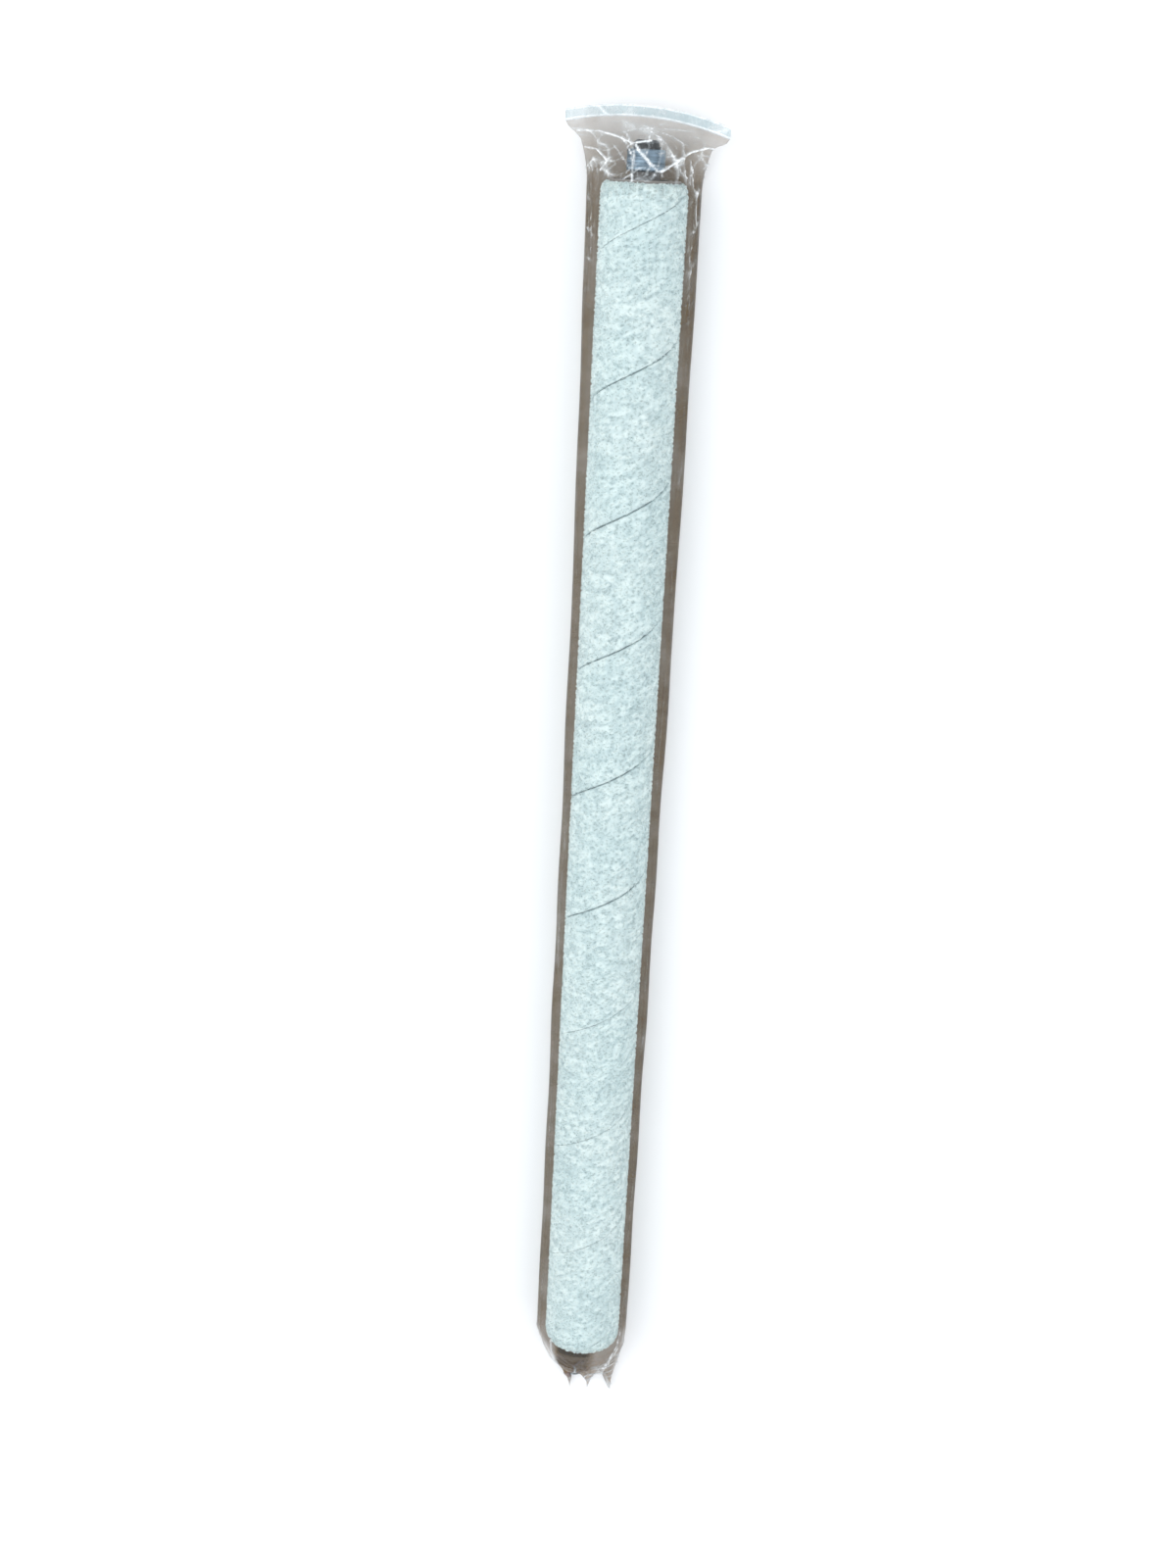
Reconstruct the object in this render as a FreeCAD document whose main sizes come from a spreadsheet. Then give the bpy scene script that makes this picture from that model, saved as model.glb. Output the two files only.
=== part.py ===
"""Plush-covered idler roller in its clear bag, as a parametric FreeCAD document.

A thin tube carries a helically wound plush strip. A moulded hub in each end of the tube holds a
deep-groove ball bearing, and both bearings run on one fixed axle. The axle ends in a set collar
and a black cap at the lock end, and in a plain stub at the tail end. The roller lies in a bag of
clear film that is welded at the lock end and folded in at the tail end.

Frame, in millimetres: +X along the axle towards the lock end, +Z up, and the origin at the centre
of the footprint, on the surface that the bag lies on. Each end's pieces are drawn with +X
pointing out of the roller and x = 0 at the tube's end face; the tail end's are turned by 180
degrees about Z.
"""

import FreeCAD, Part
import math
import os
import re

import Sketcher

DIMENSIONS = {
    # tube and cover
    "roller_length": 762.0,
    "core_bore": 38.0,
    "core_wall": 1.5,
    "cover_thickness": 5.0,
    "cover_end_round": 4.0,
    # axle and what is fixed on it
    "axle_diameter": 12.0,
    "axle_chamfer": 1.0,
    "tail_reach": 13.0,
    "tail_shoulder": 1.0,
    "tail_journal_step": 1.0,
    "cap_wall": 2.0,
    "cap_grip": 3.0,
    "cap_skirt": 1.2,
    "cap_flange_width": 1.0,
    "cap_flange_thickness": 1.6,
    "cap_chamfer": 1.4,
    "collar_wall": 5.0,
    "collar_width": 12.0,
    "collar_chamfer": 0.8,
    "collar_screw_offset": 2.7,
    "collar_screw_diameter": 4.0,
    "collar_screw_sink": 0.5,
    "collar_screw_socket": 2.0,
    "collar_screw_socket_depth": 2.0,
    # dust covers, fixed on the axle in the mouths of the hubs
    "dust_cover_play": 0.4,
    "dust_cover_sink": 1.6,
    "dust_cover_thickness": 1.6,
    "dust_boss_wall": 2.5,
    "lock_boss_reach": 6.0,
    "tail_boss_reach": 3.0,
    # hub, a moulded plug with a flange
    "hub_depth": 24.0,
    "hub_flange": 1.5,
    "hub_shoulder": 2.6,
    "hub_core_share": 0.46,
    "hub_core_depth": 14.0,
    "hub_core_angle": 44.0,
    "hub_core_count": 6.0,
    "hub_entry_chamfer": 1.0,
    # ball bearing
    "bearing_diameter": 28.0,
    "bearing_width": 8.0,
    "bearing_sink": 3.4,
    "bearing_corner": 0.4,
    "ball_diameter": 4.762,
    "ball_count": 8.0,
    "ball_play": 0.05,
    "race_gap": 3.2,
    "cage_thickness": 1.8,
    "cage_width": 6.0,
    "cage_play": 0.1,
    "seal_thickness": 0.7,
    "seal_sink": 0.2,
    "seal_play": 0.25,
    # retaining rings
    "ring_play": 0.1,
    "axle_ring_thickness": 1.0,
    "axle_ring_sink": 0.25,
    "axle_ring_width": 2.1,
    "hub_ring_thickness": 1.2,
    "hub_ring_sink": 0.7,
    "hub_ring_width": 2.3,
    "ring_gap_angle": 40.0,
    "lug_diameter": 2.8,
    "lug_hole_diameter": 1.3,
    "axle_lug_inset": 0.65,
    "hub_lug_inset": 0.2,
    # bag
    "film": 0.1,
    "bag_play": 0.3,
    "bag_half_width": 33.5,
    "head_gap": 1.0,
    "head_reach": 40.0,
    "head_clearance": 2.0,
    "head_half_width": 41.0,
    "weld_width": 6.0,
    "weld_half_width": 47.0,
    "weld_height": 18.0,
    "weld_gap": 0.1,
    "sleeve_overhang": 30.0,
    "mouth_reach": 62.0,
    "mouth_half_width": 15.0,
    "mouth_height": 24.0,
}

ARCH_FACETS = 10  # flat strips that stand for the film's curve over the roller
LUG_TURN = 8  # degrees from a retaining ring's end to the middle of its lug
LEAST_CUT = 0.01  # share of a body's volume that its holes must take
X_AXIS = FreeCAD.Vector(1, 0, 0)
Y_AXIS = FreeCAD.Vector(0, 1, 0)
Z_AXIS = FreeCAD.Vector(0, 0, 1)

doc = FreeCAD.newDocument("PlushRoller")
sheet = doc.addObject("Spreadsheet::Sheet", "Dimensions")
for row, (alias, value) in enumerate(DIMENSIONS.items(), start=1):
    sheet.set(f"A{row}", alias)
    sheet.set(f"B{row}", str(value))
    sheet.setAlias(f"B{row}", alias)
doc.recompute()


def bound(expression):
    """The expression with each dimension's name read from the sheet."""

    def from_sheet(word):
        name = word.group(0)
        return "Dimensions." + name if name in DIMENSIONS else name

    return re.sub(r"[a-z_]{4,}", from_sheet, expression)


def size(expression):
    """What an expression of the sheet's dimensions is now, in millimetres."""
    return float(sheet.evalExpression(bound(expression)))


# Places and radii that several pieces share, each written once.
CORE_RADIUS = "(core_bore / 2 + core_wall)"
COVER_RADIUS = "(core_bore / 2 + core_wall + cover_thickness)"
AXIS_HEIGHT = "(film + bag_play + core_bore / 2 + core_wall + cover_thickness)"
ROLLER_MIDDLE = "((mouth_reach - head_reach) / 2)"
LOCK_FACE = f"({ROLLER_MIDDLE} + roller_length / 2)"
TAIL_FACE = f"({ROLLER_MIDDLE} - roller_length / 2)"
AXLE_RADIUS = "(axle_diameter / 2)"
SEAT_RADIUS = "(bearing_diameter / 2)"
BEARING_OUT = "(-bearing_sink)"
BEARING_IN = "(-bearing_sink - bearing_width)"
BEARING_MIDDLE = "(-bearing_sink - bearing_width / 2)"
PITCH_RADIUS = "((axle_diameter + bearing_diameter) / 4)"
INNER_LAND = f"({PITCH_RADIUS} - race_gap / 2)"
OUTER_LAND = f"({PITCH_RADIUS} + race_gap / 2)"
COLLAR_RADIUS = "(axle_diameter / 2 + collar_wall)"
CAP_RADIUS = "(axle_diameter / 2 + cap_skirt)"
CAP_FLANGE_RADIUS = "(axle_diameter / 2 + cap_skirt + cap_flange_width)"
DUST_BOSS_RADIUS = "(axle_diameter / 2 + dust_boss_wall)"
COLLAR_OUT = "(lock_boss_reach + collar_width)"
COLLAR_SCREW_AT = "(lock_boss_reach + collar_width / 2 + collar_screw_offset)"
AXLE_LOCK_REACH = f"({COLLAR_OUT} + cap_grip)"
CAP_OUT = f"({AXLE_LOCK_REACH} + cap_wall)"
HUB_RING_OUT = f"({BEARING_OUT} + hub_ring_thickness)"


def place(item, x, turned=False):
    """Puts a piece at x on the roller's axis, with its place bound to the sheet."""
    if turned:
        item.Placement = FreeCAD.Placement(FreeCAD.Vector(), FreeCAD.Rotation(Z_AXIS, 180))
    item.setExpression("Placement.Base.x", bound(x))
    item.setExpression("Placement.Base.z", bound(AXIS_HEIGHT))
    return item


def at_end(item, end):
    """Puts a piece at the lock or the tail end of the roller."""
    return place(item, LOCK_FACE if end == "lock" else TAIL_FACE, turned=end == "tail")


def plane(body, role):
    """One of a body's own origin planes."""
    return next(f for f in body.Origin.OriginFeatures if f.Role == role)


def outline(body, name, points, role="XZ_Plane"):
    """A closed sketch whose corners are expressions of the sheet."""
    sketch = body.newObject("Sketcher::SketchObject", name)
    sketch.AttachmentSupport = [(plane(body, role), "")]
    sketch.MapMode = "FlatFace"
    corners = [FreeCAD.Vector(size(x), size(y), 0) for x, y in points]
    count = len(corners)
    for i in range(count):
        sketch.addGeometry(Part.LineSegment(corners[i], corners[(i + 1) % count]), False)
    for i in range(count):
        sketch.addConstraint(Sketcher.Constraint("Coincident", i, 2, (i + 1) % count, 1))
    for i, (x, y) in enumerate(points):
        for axis, text, value in (("X", x, corners[i].x), ("Y", y, corners[i].y)):
            label = f"corner_{i}_{axis.lower()}"
            number = sketch.addConstraint(
                Sketcher.Constraint("Distance" + axis, -1, 1, i, 1, value)
            )
            sketch.renameConstraint(number, label)
            sketch.setExpression("Constraints." + label, bound(text))
    return sketch


def new_body(label):
    body = doc.addObject("PartDesign::Body", label)
    body.Label = label
    return body


def turned_body(label, points):
    """A body turned from an outline of (x, radius) corners about the X axis."""
    body = new_body(label)
    sketch = outline(body, label + "_outline", points)
    turning = body.newObject("PartDesign::Revolution", label + "_turning")
    turning.Profile = sketch
    turning.ReferenceAxis = (sketch, ["H_Axis"])
    turning.Angle = 360
    sketch.Visibility = False
    doc.recompute()
    return body


def check_cut(body, before):
    """Stops if the holes made since the volume was before took nothing from the body."""
    doc.recompute()
    if body.Shape.Volume > (1 - LEAST_CUT) * before:
        raise RuntimeError(f"the holes in {body.Label} cut nothing")


def tube_points(inside, outside, left, right):
    """The outline of a plain ring."""
    return [(left, inside), (right, inside), (right, outside), (left, outside)]


def cylinder(name, radius, length, base, axis):
    """A bound Part::Cylinder whose base is a vector and whose direction is axis."""
    item = doc.addObject("Part::Cylinder", name)
    item.setExpression("Radius", bound(radius))
    item.setExpression("Height", bound(length))
    item.Placement = FreeCAD.Placement(
        FreeCAD.Vector(), FreeCAD.Rotation(Z_AXIS, axis)
    )
    for letter, text in zip("xyz", base):
        item.setExpression("Placement.Base." + letter, bound(text))
    return item


def grouped(label, items):
    """Separate solids that share one node."""
    group = doc.addObject("Part::Compound", label)
    group.Label = label
    group.Links = items
    return group


def core_tube():
    points = tube_points("core_bore / 2", CORE_RADIUS, "-roller_length / 2", "roller_length / 2")
    return place(turned_body("core_tube", points), ROLLER_MIDDLE)


def plush_cover():
    """The wound cover's outer shape: a sleeve whose pile is rounded off at both ends."""
    half = "roller_length / 2"
    points = tube_points(CORE_RADIUS, COVER_RADIUS, "-" + half, half)
    points[2:] = [
        (f"{half}", f"{COVER_RADIUS} - cover_end_round"),
        (f"{half} - cover_end_round", COVER_RADIUS),
        (f"-{half} + cover_end_round", COVER_RADIUS),
        (f"-{half}", f"{COVER_RADIUS} - cover_end_round"),
    ]
    return place(turned_body("plush_cover", points), ROLLER_MIDDLE)


def axle():
    """One bar through the roller: a groove on each side of both bearings, and a tail journal."""
    tail = "-roller_length / 2 - tail_reach"
    lock = f"roller_length / 2 + {AXLE_LOCK_REACH}"
    groove = f"{AXLE_RADIUS} - axle_ring_sink"
    slim = f"{AXLE_RADIUS} - axle_chamfer"
    journal = f"({AXLE_RADIUS} - tail_journal_step)"
    shoulder = "-(roller_length / 2 + tail_boss_reach + tail_shoulder)"
    points = [
        (tail, "0"),
        (tail, f"{journal} - axle_chamfer"),
        (f"{tail} + axle_chamfer", journal),
        (shoulder, journal),
        (shoulder, AXLE_RADIUS),
    ]
    width = "axle_ring_thickness + ring_play"
    tail_end = [f"-(roller_length / 2 + {BEARING_OUT} + {width})", f"-(roller_length / 2 + {BEARING_IN})"]
    lock_end = [f"roller_length / 2 + {BEARING_IN} - ({width})", f"roller_length / 2 + {BEARING_OUT}"]
    for left in tail_end + lock_end:
        right = f"{left} + {width}"
        points += [(left, AXLE_RADIUS), (left, groove), (right, groove), (right, AXLE_RADIUS)]
    points += [(f"{lock} - axle_chamfer", AXLE_RADIUS), (lock, slim), (lock, "0")]
    return place(turned_body("axle", points), ROLLER_MIDDLE)


def hub(end):
    """Moulded plug: a bearing seat with a shoulder behind it, a ring groove and cored pockets."""
    label = "hub_" + end
    plug = "core_bore / 2"
    groove_radius = f"{SEAT_RADIUS} + hub_ring_sink"
    groove_out = f"{HUB_RING_OUT} + ring_play"
    points = [
        ("-hub_depth", f"{SEAT_RADIUS} - hub_shoulder"),
        (BEARING_IN, f"{SEAT_RADIUS} - hub_shoulder"),
        (BEARING_IN, SEAT_RADIUS),
        (BEARING_OUT, SEAT_RADIUS),
        (BEARING_OUT, groove_radius),
        (groove_out, groove_radius),
        (groove_out, SEAT_RADIUS),
        ("hub_flange", SEAT_RADIUS),
        ("hub_flange", CORE_RADIUS),
        ("0", CORE_RADIUS),
        ("0", plug),
        ("-hub_depth + hub_entry_chamfer", plug),
        ("-hub_depth", f"{plug} - hub_entry_chamfer"),
    ]
    body = turned_body(label, points)
    wall_middle = f"(({plug} + {groove_radius}) / 2)"
    half_width = f"(hub_core_share * ({plug} - ({groove_radius})) / 2)"
    inner = f"({wall_middle} - {half_width})"
    outer = f"({wall_middle} + {half_width})"
    half = "(hub_core_angle / 2)"
    sketch = body.newObject("Sketcher::SketchObject", label + "_pocket_outline")
    sketch.AttachmentSupport = [(plane(body, "YZ_Plane"), "")]
    sketch.MapMode = "FlatFace"
    reach = math.radians(size(half))
    origin = FreeCAD.Vector()
    arcs = []
    for radius in (size(inner), size(outer)):
        circle = Part.Circle(origin, Z_AXIS, radius)
        arcs.append(sketch.addGeometry(Part.ArcOfCircle(circle, -reach, reach), False))
    ends = []
    for sign in (-1, 1):
        aim = FreeCAD.Vector(math.cos(sign * reach), math.sin(sign * reach), 0)
        line = Part.LineSegment(aim * size(inner), aim * size(outer))
        ends.append(sketch.addGeometry(line, False))
    for arc in arcs:
        sketch.addConstraint(Sketcher.Constraint("Coincident", arc, 3, -1, 1))
    for line, arc_end in zip(ends, (1, 2)):
        sketch.addConstraint(Sketcher.Constraint("Coincident", line, 1, arcs[0], arc_end))
        sketch.addConstraint(Sketcher.Constraint("Coincident", line, 2, arcs[1], arc_end))
        sketch.addConstraint(Sketcher.Constraint("PointOnObject", -1, 1, line))
    sketch.addConstraint(Sketcher.Constraint("Symmetric", arcs[1], 1, arcs[1], 2, -1))
    facts = (
        ("inner", Sketcher.Constraint("Radius", arcs[0], size(inner)), inner),
        ("outer", Sketcher.Constraint("Radius", arcs[1], size(outer)), outer),
        (
            "spread",
            Sketcher.Constraint("Angle", ends[0], 1, ends[1], 1, 2 * reach),
            "hub_core_angle * 1 deg",
        ),
    )
    for name, constraint, text in facts:
        sketch.renameConstraint(sketch.addConstraint(constraint), name)
        sketch.setExpression("Constraints." + name, bound(text))
    sketch.setExpression("AttachmentOffset.Base.z", bound("hub_flange"))
    pocket = body.newObject("PartDesign::Pocket", label + "_pocket")
    pocket.Profile = sketch
    pocket.setExpression("Length", bound("hub_core_depth"))
    before = body.Shape.Volume
    doc.recompute()
    pattern = body.newObject("PartDesign::PolarPattern", label + "_pockets")
    pattern.Originals = [pocket]
    pattern.Axis = (sketch, ["N_Axis"])
    pattern.Angle = 360
    pattern.setExpression("Occurrences", bound("hub_core_count"))
    body.Tip = pattern
    sketch.Visibility = False
    check_cut(body, before)
    return at_end(body, end)


def bearing_ring(label, end, inside, outside):
    """A race of the bearing: a plain ring with the balls' groove cut round it."""
    points = tube_points(inside, outside, BEARING_IN, BEARING_OUT)
    body = turned_body(label, points)
    ring = body.newObject("PartDesign::SubtractiveTorus", label + "_groove")
    ring.setExpression("Radius1", bound(PITCH_RADIUS))
    ring.setExpression("Radius2", bound("ball_diameter / 2 + ball_play"))
    ring.Placement = FreeCAD.Placement(FreeCAD.Vector(), FreeCAD.Rotation(Z_AXIS, X_AXIS))
    ring.setExpression("Placement.Base.x", bound(BEARING_MIDDLE))
    doc.recompute()
    return at_end(body, end)


def outer_race(end):
    return bearing_ring("bearing_outer_race_" + end, end, OUTER_LAND, SEAT_RADIUS)


def inner_race(end):
    return bearing_ring("bearing_inner_race_" + end, end, AXLE_RADIUS, INNER_LAND)


def seals(end):
    """The bearing's two rubber seals, seated in the outer race and clear of the inner one."""
    items = []
    for side in ("inner", "outer"):
        if side == "outer":
            left = f"{BEARING_OUT} - seal_sink - seal_thickness"
        else:
            left = f"{BEARING_IN} + seal_sink"
        points = tube_points(
            f"{INNER_LAND} + seal_play",
            OUTER_LAND,
            left,
            f"{left} + seal_thickness",
        )
        items.append(turned_body(f"seal_{side}_{end}", points))
    return at_end(grouped("bearing_seals_" + end, items), end)


def balls(end):
    """The balls, evenly spaced on the pitch circle."""
    items = []
    for i in range(round(size("ball_count"))):
        ball = doc.addObject("Part::Sphere", f"ball_{end}_{i}")
        turn = f"({i} * 360 deg / ball_count)"
        ball.setExpression("Radius", bound("ball_diameter / 2"))
        ball.setExpression("Placement.Base.x", bound(BEARING_MIDDLE))
        ball.setExpression("Placement.Base.y", bound(f"{PITCH_RADIUS} * sin{turn}"))
        ball.setExpression("Placement.Base.z", bound(f"{PITCH_RADIUS} * cos{turn}"))
        items.append(ball)
    return at_end(grouped("bearing_balls_" + end, items), end)


def cage(end):
    """The ring that spaces the balls: a band with one round pocket for each ball."""
    label = "bearing_cage_" + end
    points = tube_points(
        f"{PITCH_RADIUS} - cage_thickness / 2",
        f"{PITCH_RADIUS} + cage_thickness / 2",
        f"{BEARING_MIDDLE} - cage_width / 2",
        f"{BEARING_MIDDLE} + cage_width / 2",
    )
    body = turned_body(label, points)
    before = body.Shape.Volume
    ball_seat = body.newObject("PartDesign::SubtractiveSphere", label + "_seat")
    ball_seat.setExpression("Radius", bound("ball_diameter / 2 + cage_play"))
    ball_seat.setExpression("Placement.Base.x", bound(BEARING_MIDDLE))
    ball_seat.setExpression("Placement.Base.z", bound(PITCH_RADIUS))
    doc.recompute()
    pattern = body.newObject("PartDesign::PolarPattern", label + "_seats")
    pattern.Originals = [ball_seat]
    pattern.Axis = (plane(body, "X_Axis"), [""])
    pattern.Angle = 360
    pattern.setExpression("Occurrences", bound("ball_count"))
    body.Tip = pattern
    check_cut(body, before)
    return at_end(body, end)


def retaining_ring(name, inside, outside, left, thickness, lug_radius):
    """An open ring with a plier lug at each side of its gap, which faces down."""
    band = cylinder(name + "_band", outside, thickness, (left, "0", "0"), X_AXIS)
    band.setExpression("Angle", bound("360 deg - ring_gap_angle * 1 deg"))
    centring = FreeCAD.Rotation(X_AXIS, size("ring_gap_angle") / 2)
    turned = centring.multiply(band.Placement.Rotation)
    band.Placement = FreeCAD.Placement(band.Placement.Base, turned)
    bore = cylinder(name + "_bore", inside, thickness, (left, "0", "0"), X_AXIS)
    ring = doc.addObject("Part::Cut", name + "_ring")
    ring.Base = band
    ring.Tool = bore
    lugs = []
    holes = []
    turn = f"((ring_gap_angle / 2 + {LUG_TURN}) * 1 deg)"
    for side, sign in (("a", "-"), ("b", "")):
        base = (left, f"{sign}({lug_radius}) * sin{turn}", f"-({lug_radius}) * cos{turn}")
        lug = f"{name}_lug_{side}"
        lugs.append(cylinder(lug, "lug_diameter / 2", thickness, base, X_AXIS))
        holes.append(cylinder(lug + "_hole", "lug_hole_diameter / 2", thickness, base, X_AXIS))
    solid = doc.addObject("Part::MultiFuse", name + "_solid")
    solid.Shapes = [ring] + lugs
    drills = doc.addObject("Part::MultiFuse", name + "_drills")
    drills.Shapes = holes
    drilled = doc.addObject("Part::Cut", name)
    drilled.Label = name
    drilled.Base = solid
    drilled.Tool = drills
    return drilled


def axle_rings():
    """Four retaining rings, one in each groove of the axle."""
    inside = f"({AXLE_RADIUS} - axle_ring_sink)"
    outside = f"({inside} + axle_ring_width)"
    lug_radius = f"{outside} - axle_lug_inset"
    half = "roller_length / 2"
    lefts = {
        "tail_out": f"-({half} + {BEARING_OUT} + axle_ring_thickness)",
        "tail_in": f"-({half} + {BEARING_IN})",
        "lock_in": f"{half} + {BEARING_IN} - axle_ring_thickness",
        "lock_out": f"{half} + {BEARING_OUT}",
    }
    items = [
        retaining_ring("axle_ring_" + at, inside, outside, left, "axle_ring_thickness", lug_radius)
        for at, left in lefts.items()
    ]
    return place(grouped("axle_retaining_rings", items), ROLLER_MIDDLE)


def hub_ring(end):
    """The ring that holds the bearing in its hub."""
    outside = f"({SEAT_RADIUS} + hub_ring_sink)"
    inside = f"({outside} - hub_ring_width)"
    ring = retaining_ring(
        "hub_retaining_ring_" + end,
        inside,
        outside,
        BEARING_OUT,
        "hub_ring_thickness",
        f"{inside} + hub_lug_inset",
    )
    return at_end(ring, end)


def dust_cover(end):
    """A disc on the axle that closes the hub's mouth, with a boss that spaces what is outside."""
    inner = "-dust_cover_sink"
    outer = f"({inner} + dust_cover_thickness)"
    points = [
        (inner, AXLE_RADIUS),
        (f"{end}_boss_reach", AXLE_RADIUS),
        (f"{end}_boss_reach", DUST_BOSS_RADIUS),
        (outer, DUST_BOSS_RADIUS),
        (outer, f"{SEAT_RADIUS} - dust_cover_play"),
        (inner, f"{SEAT_RADIUS} - dust_cover_play"),
    ]
    return at_end(turned_body("dust_cover_" + end, points), end)


def collar():
    """A set collar with its screw hole drilled through one side."""
    points = [
        ("lock_boss_reach", AXLE_RADIUS),
        (COLLAR_OUT, AXLE_RADIUS),
        (COLLAR_OUT, f"{COLLAR_RADIUS} - collar_chamfer"),
        (f"{COLLAR_OUT} - collar_chamfer", COLLAR_RADIUS),
        ("lock_boss_reach + collar_chamfer", COLLAR_RADIUS),
        ("lock_boss_reach", f"{COLLAR_RADIUS} - collar_chamfer"),
    ]
    body = turned_body("set_collar", points)
    before = body.Shape.Volume
    drill = body.newObject("PartDesign::SubtractiveCylinder", "set_collar_hole")
    drill.setExpression("Radius", bound("collar_screw_diameter / 2"))
    drill.setExpression("Height", bound(COLLAR_RADIUS))
    drill.Placement = FreeCAD.Placement(FreeCAD.Vector(), FreeCAD.Rotation(Z_AXIS, Y_AXIS))
    drill.setExpression("Placement.Base.x", bound(COLLAR_SCREW_AT))
    check_cut(body, before)
    return at_end(body, "lock")


def collar_screw():
    """The collar's grub screw, which bears on the axle and has a hexagon socket."""
    point = (COLLAR_SCREW_AT, AXLE_RADIUS, "0")
    length = "(collar_wall - collar_screw_sink)"
    shank = cylinder("grub_screw", "collar_screw_diameter / 2", length, point, Y_AXIS)
    socket = doc.addObject("Part::Prism", "grub_screw_socket")
    socket.Polygon = 6
    socket.setExpression("Circumradius", bound("collar_screw_socket / (2 * cos(30 deg))"))
    socket.setExpression("Height", bound("collar_screw_socket_depth"))
    socket.Placement = shank.Placement
    top = f"{AXLE_RADIUS} + {length} - collar_screw_socket_depth"
    for letter, text in zip("xyz", (COLLAR_SCREW_AT, top, "0")):
        socket.setExpression("Placement.Base." + letter, bound(text))
    screw = doc.addObject("Part::Cut", "collar_grub_screw")
    screw.Label = "collar_grub_screw"
    screw.Base = shank
    screw.Tool = socket
    return at_end(screw, "lock")


def cap():
    """The black cap over the axle's lock end: a cup with a flange at its foot."""
    flange = f"({COLLAR_OUT} + cap_flange_thickness)"
    points = [
        (COLLAR_OUT, AXLE_RADIUS),
        (AXLE_LOCK_REACH, AXLE_RADIUS),
        (AXLE_LOCK_REACH, "0"),
        (CAP_OUT, "0"),
        (CAP_OUT, f"{CAP_RADIUS} - cap_chamfer"),
        (f"{CAP_OUT} - cap_chamfer", CAP_RADIUS),
        (flange, CAP_RADIUS),
        (flange, CAP_FLANGE_RADIUS),
        (COLLAR_OUT, CAP_FLANGE_RADIUS),
    ]
    return at_end(turned_body("axle_cap", points), "lock")


# The bag's film. A section is a closed outline of (y, z) points: the two corners of its flat
# bottom, then the ends of the facets that arch over the roller.


def crossing(line_a, line_b):
    """Where two lines of the form (normal angle, distance from the origin) cross."""
    (angle_a, reach_a), (angle_b, reach_b) = line_a, line_b
    spread = math.sin(angle_b - angle_a)
    y = (reach_a * math.sin(angle_b) - reach_b * math.sin(angle_a)) / spread
    z = (reach_b * math.cos(angle_a) - reach_a * math.cos(angle_b)) / spread
    return y, z


def sleeve_section(outward):
    """The film's outline round the roller, moved outward from its inner face."""
    radius = size(COVER_RADIUS) + size("bag_play")
    lean = math.pi / 2 - 2 * math.atan2(radius, size("bag_half_width"))
    step = (math.pi - 2 * lean) / ARCH_FACETS
    angles = [-math.pi / 2] + [lean + step * i for i in range(ARCH_FACETS + 1)]
    lines = [(angle, radius + outward) for angle in angles]
    height = size(AXIS_HEIGHT)
    corners = [crossing(lines[-1], lines[0])]
    corners += [crossing(lines[i], lines[i + 1]) for i in range(len(lines) - 1)]
    return [(y, z + height) for y, z in corners]


def arch(half_width, low, high, outward):
    """A section of the same corners as the sleeve's: a flat bottom and half an ellipse over it."""
    wide = half_width + outward
    tall = high - low + 2 * outward
    corners = [(-wide, low - outward), (wide, low - outward)]
    for i in range(ARCH_FACETS):
        angle = math.pi * (i + 0.5) / ARCH_FACETS
        corners.append((wide * math.cos(angle), low - outward + tall * math.sin(angle)))
    return corners


def fold(half_width, low, high, outward):
    """A section of the same corners pressed flat, as two lines of film."""
    wide = half_width + outward
    corners = [(-wide, low - outward), (wide, low - outward)]
    for i in range(ARCH_FACETS):
        y = wide * (1 - 2 * i / (ARCH_FACETS - 1))
        corners.append((y, high + outward))
    return corners


def wire(section, x):
    return Part.makePolygon([FreeCAD.Vector(x, y, z) for y, z in section + section[:1]])


def film_node(label, shape):
    item = doc.addObject("Part::Feature", label)
    item.Label = label
    item.Shape = shape
    return item


def bag_sleeve():
    """The straight length of film round the roller: one flat strip for each side of its section."""
    start = size(TAIL_FACE) - size("sleeve_overhang")
    end = size(LOCK_FACE) + size("head_gap")
    inner = sleeve_section(0)
    outer = sleeve_section(size("film"))
    strips = []
    for i in range(len(inner)):
        j = (i + 1) % len(inner)
        side = [inner[i], inner[j], outer[j], outer[i]]
        strips.append(Part.Face(wire(side, start)).extrude(FreeCAD.Vector(end - start, 0, 0)))
    return film_node("bag_sleeve", Part.makeCompound(strips))


def film_shell(stations):
    """The film between stations of (x, inner section, outer section)."""
    inner = Part.makeLoft([wire(inside, x) for x, inside, outside in stations], True, True)
    outer = Part.makeLoft([wire(outside, x) for x, inside, outside in stations], True, True)
    return outer.cut(inner)


def bag_head():
    """The lock end of the bag: it tents over the axle's cap and closes in a flat weld."""
    film = size("film")
    start = size(LOCK_FACE) + size("head_gap")
    passing = size(LOCK_FACE) + size(CAP_OUT) + size("head_clearance")
    weld = size(LOCK_FACE) + size("head_reach") - size("weld_width")
    weld_low = size("weld_height")
    weld_high = weld_low + size("weld_gap")
    clearance = size(CAP_FLANGE_RADIUS) + size("head_clearance")
    tent_low = weld_low / 2
    tent_high = size(AXIS_HEIGHT) + clearance + size("head_clearance")
    stations = [(start, sleeve_section(0), sleeve_section(film))]
    tent = ("head_half_width", tent_low, tent_high)
    shut = ("weld_half_width", weld_low, weld_high)
    for x, shaper, (wide, low, high) in ((passing, arch, tent), (weld, fold, shut)):
        stations.append((x, shaper(size(wide), low, high, 0), shaper(size(wide), low, high, film)))
    shell = film_shell(stations)
    band = Part.Face(wire(fold(size("weld_half_width"), weld_low, weld_high, film), weld))
    return film_node("bag_head", shell.fuse(band.extrude(FreeCAD.Vector(size("weld_width"), 0, 0))))


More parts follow.
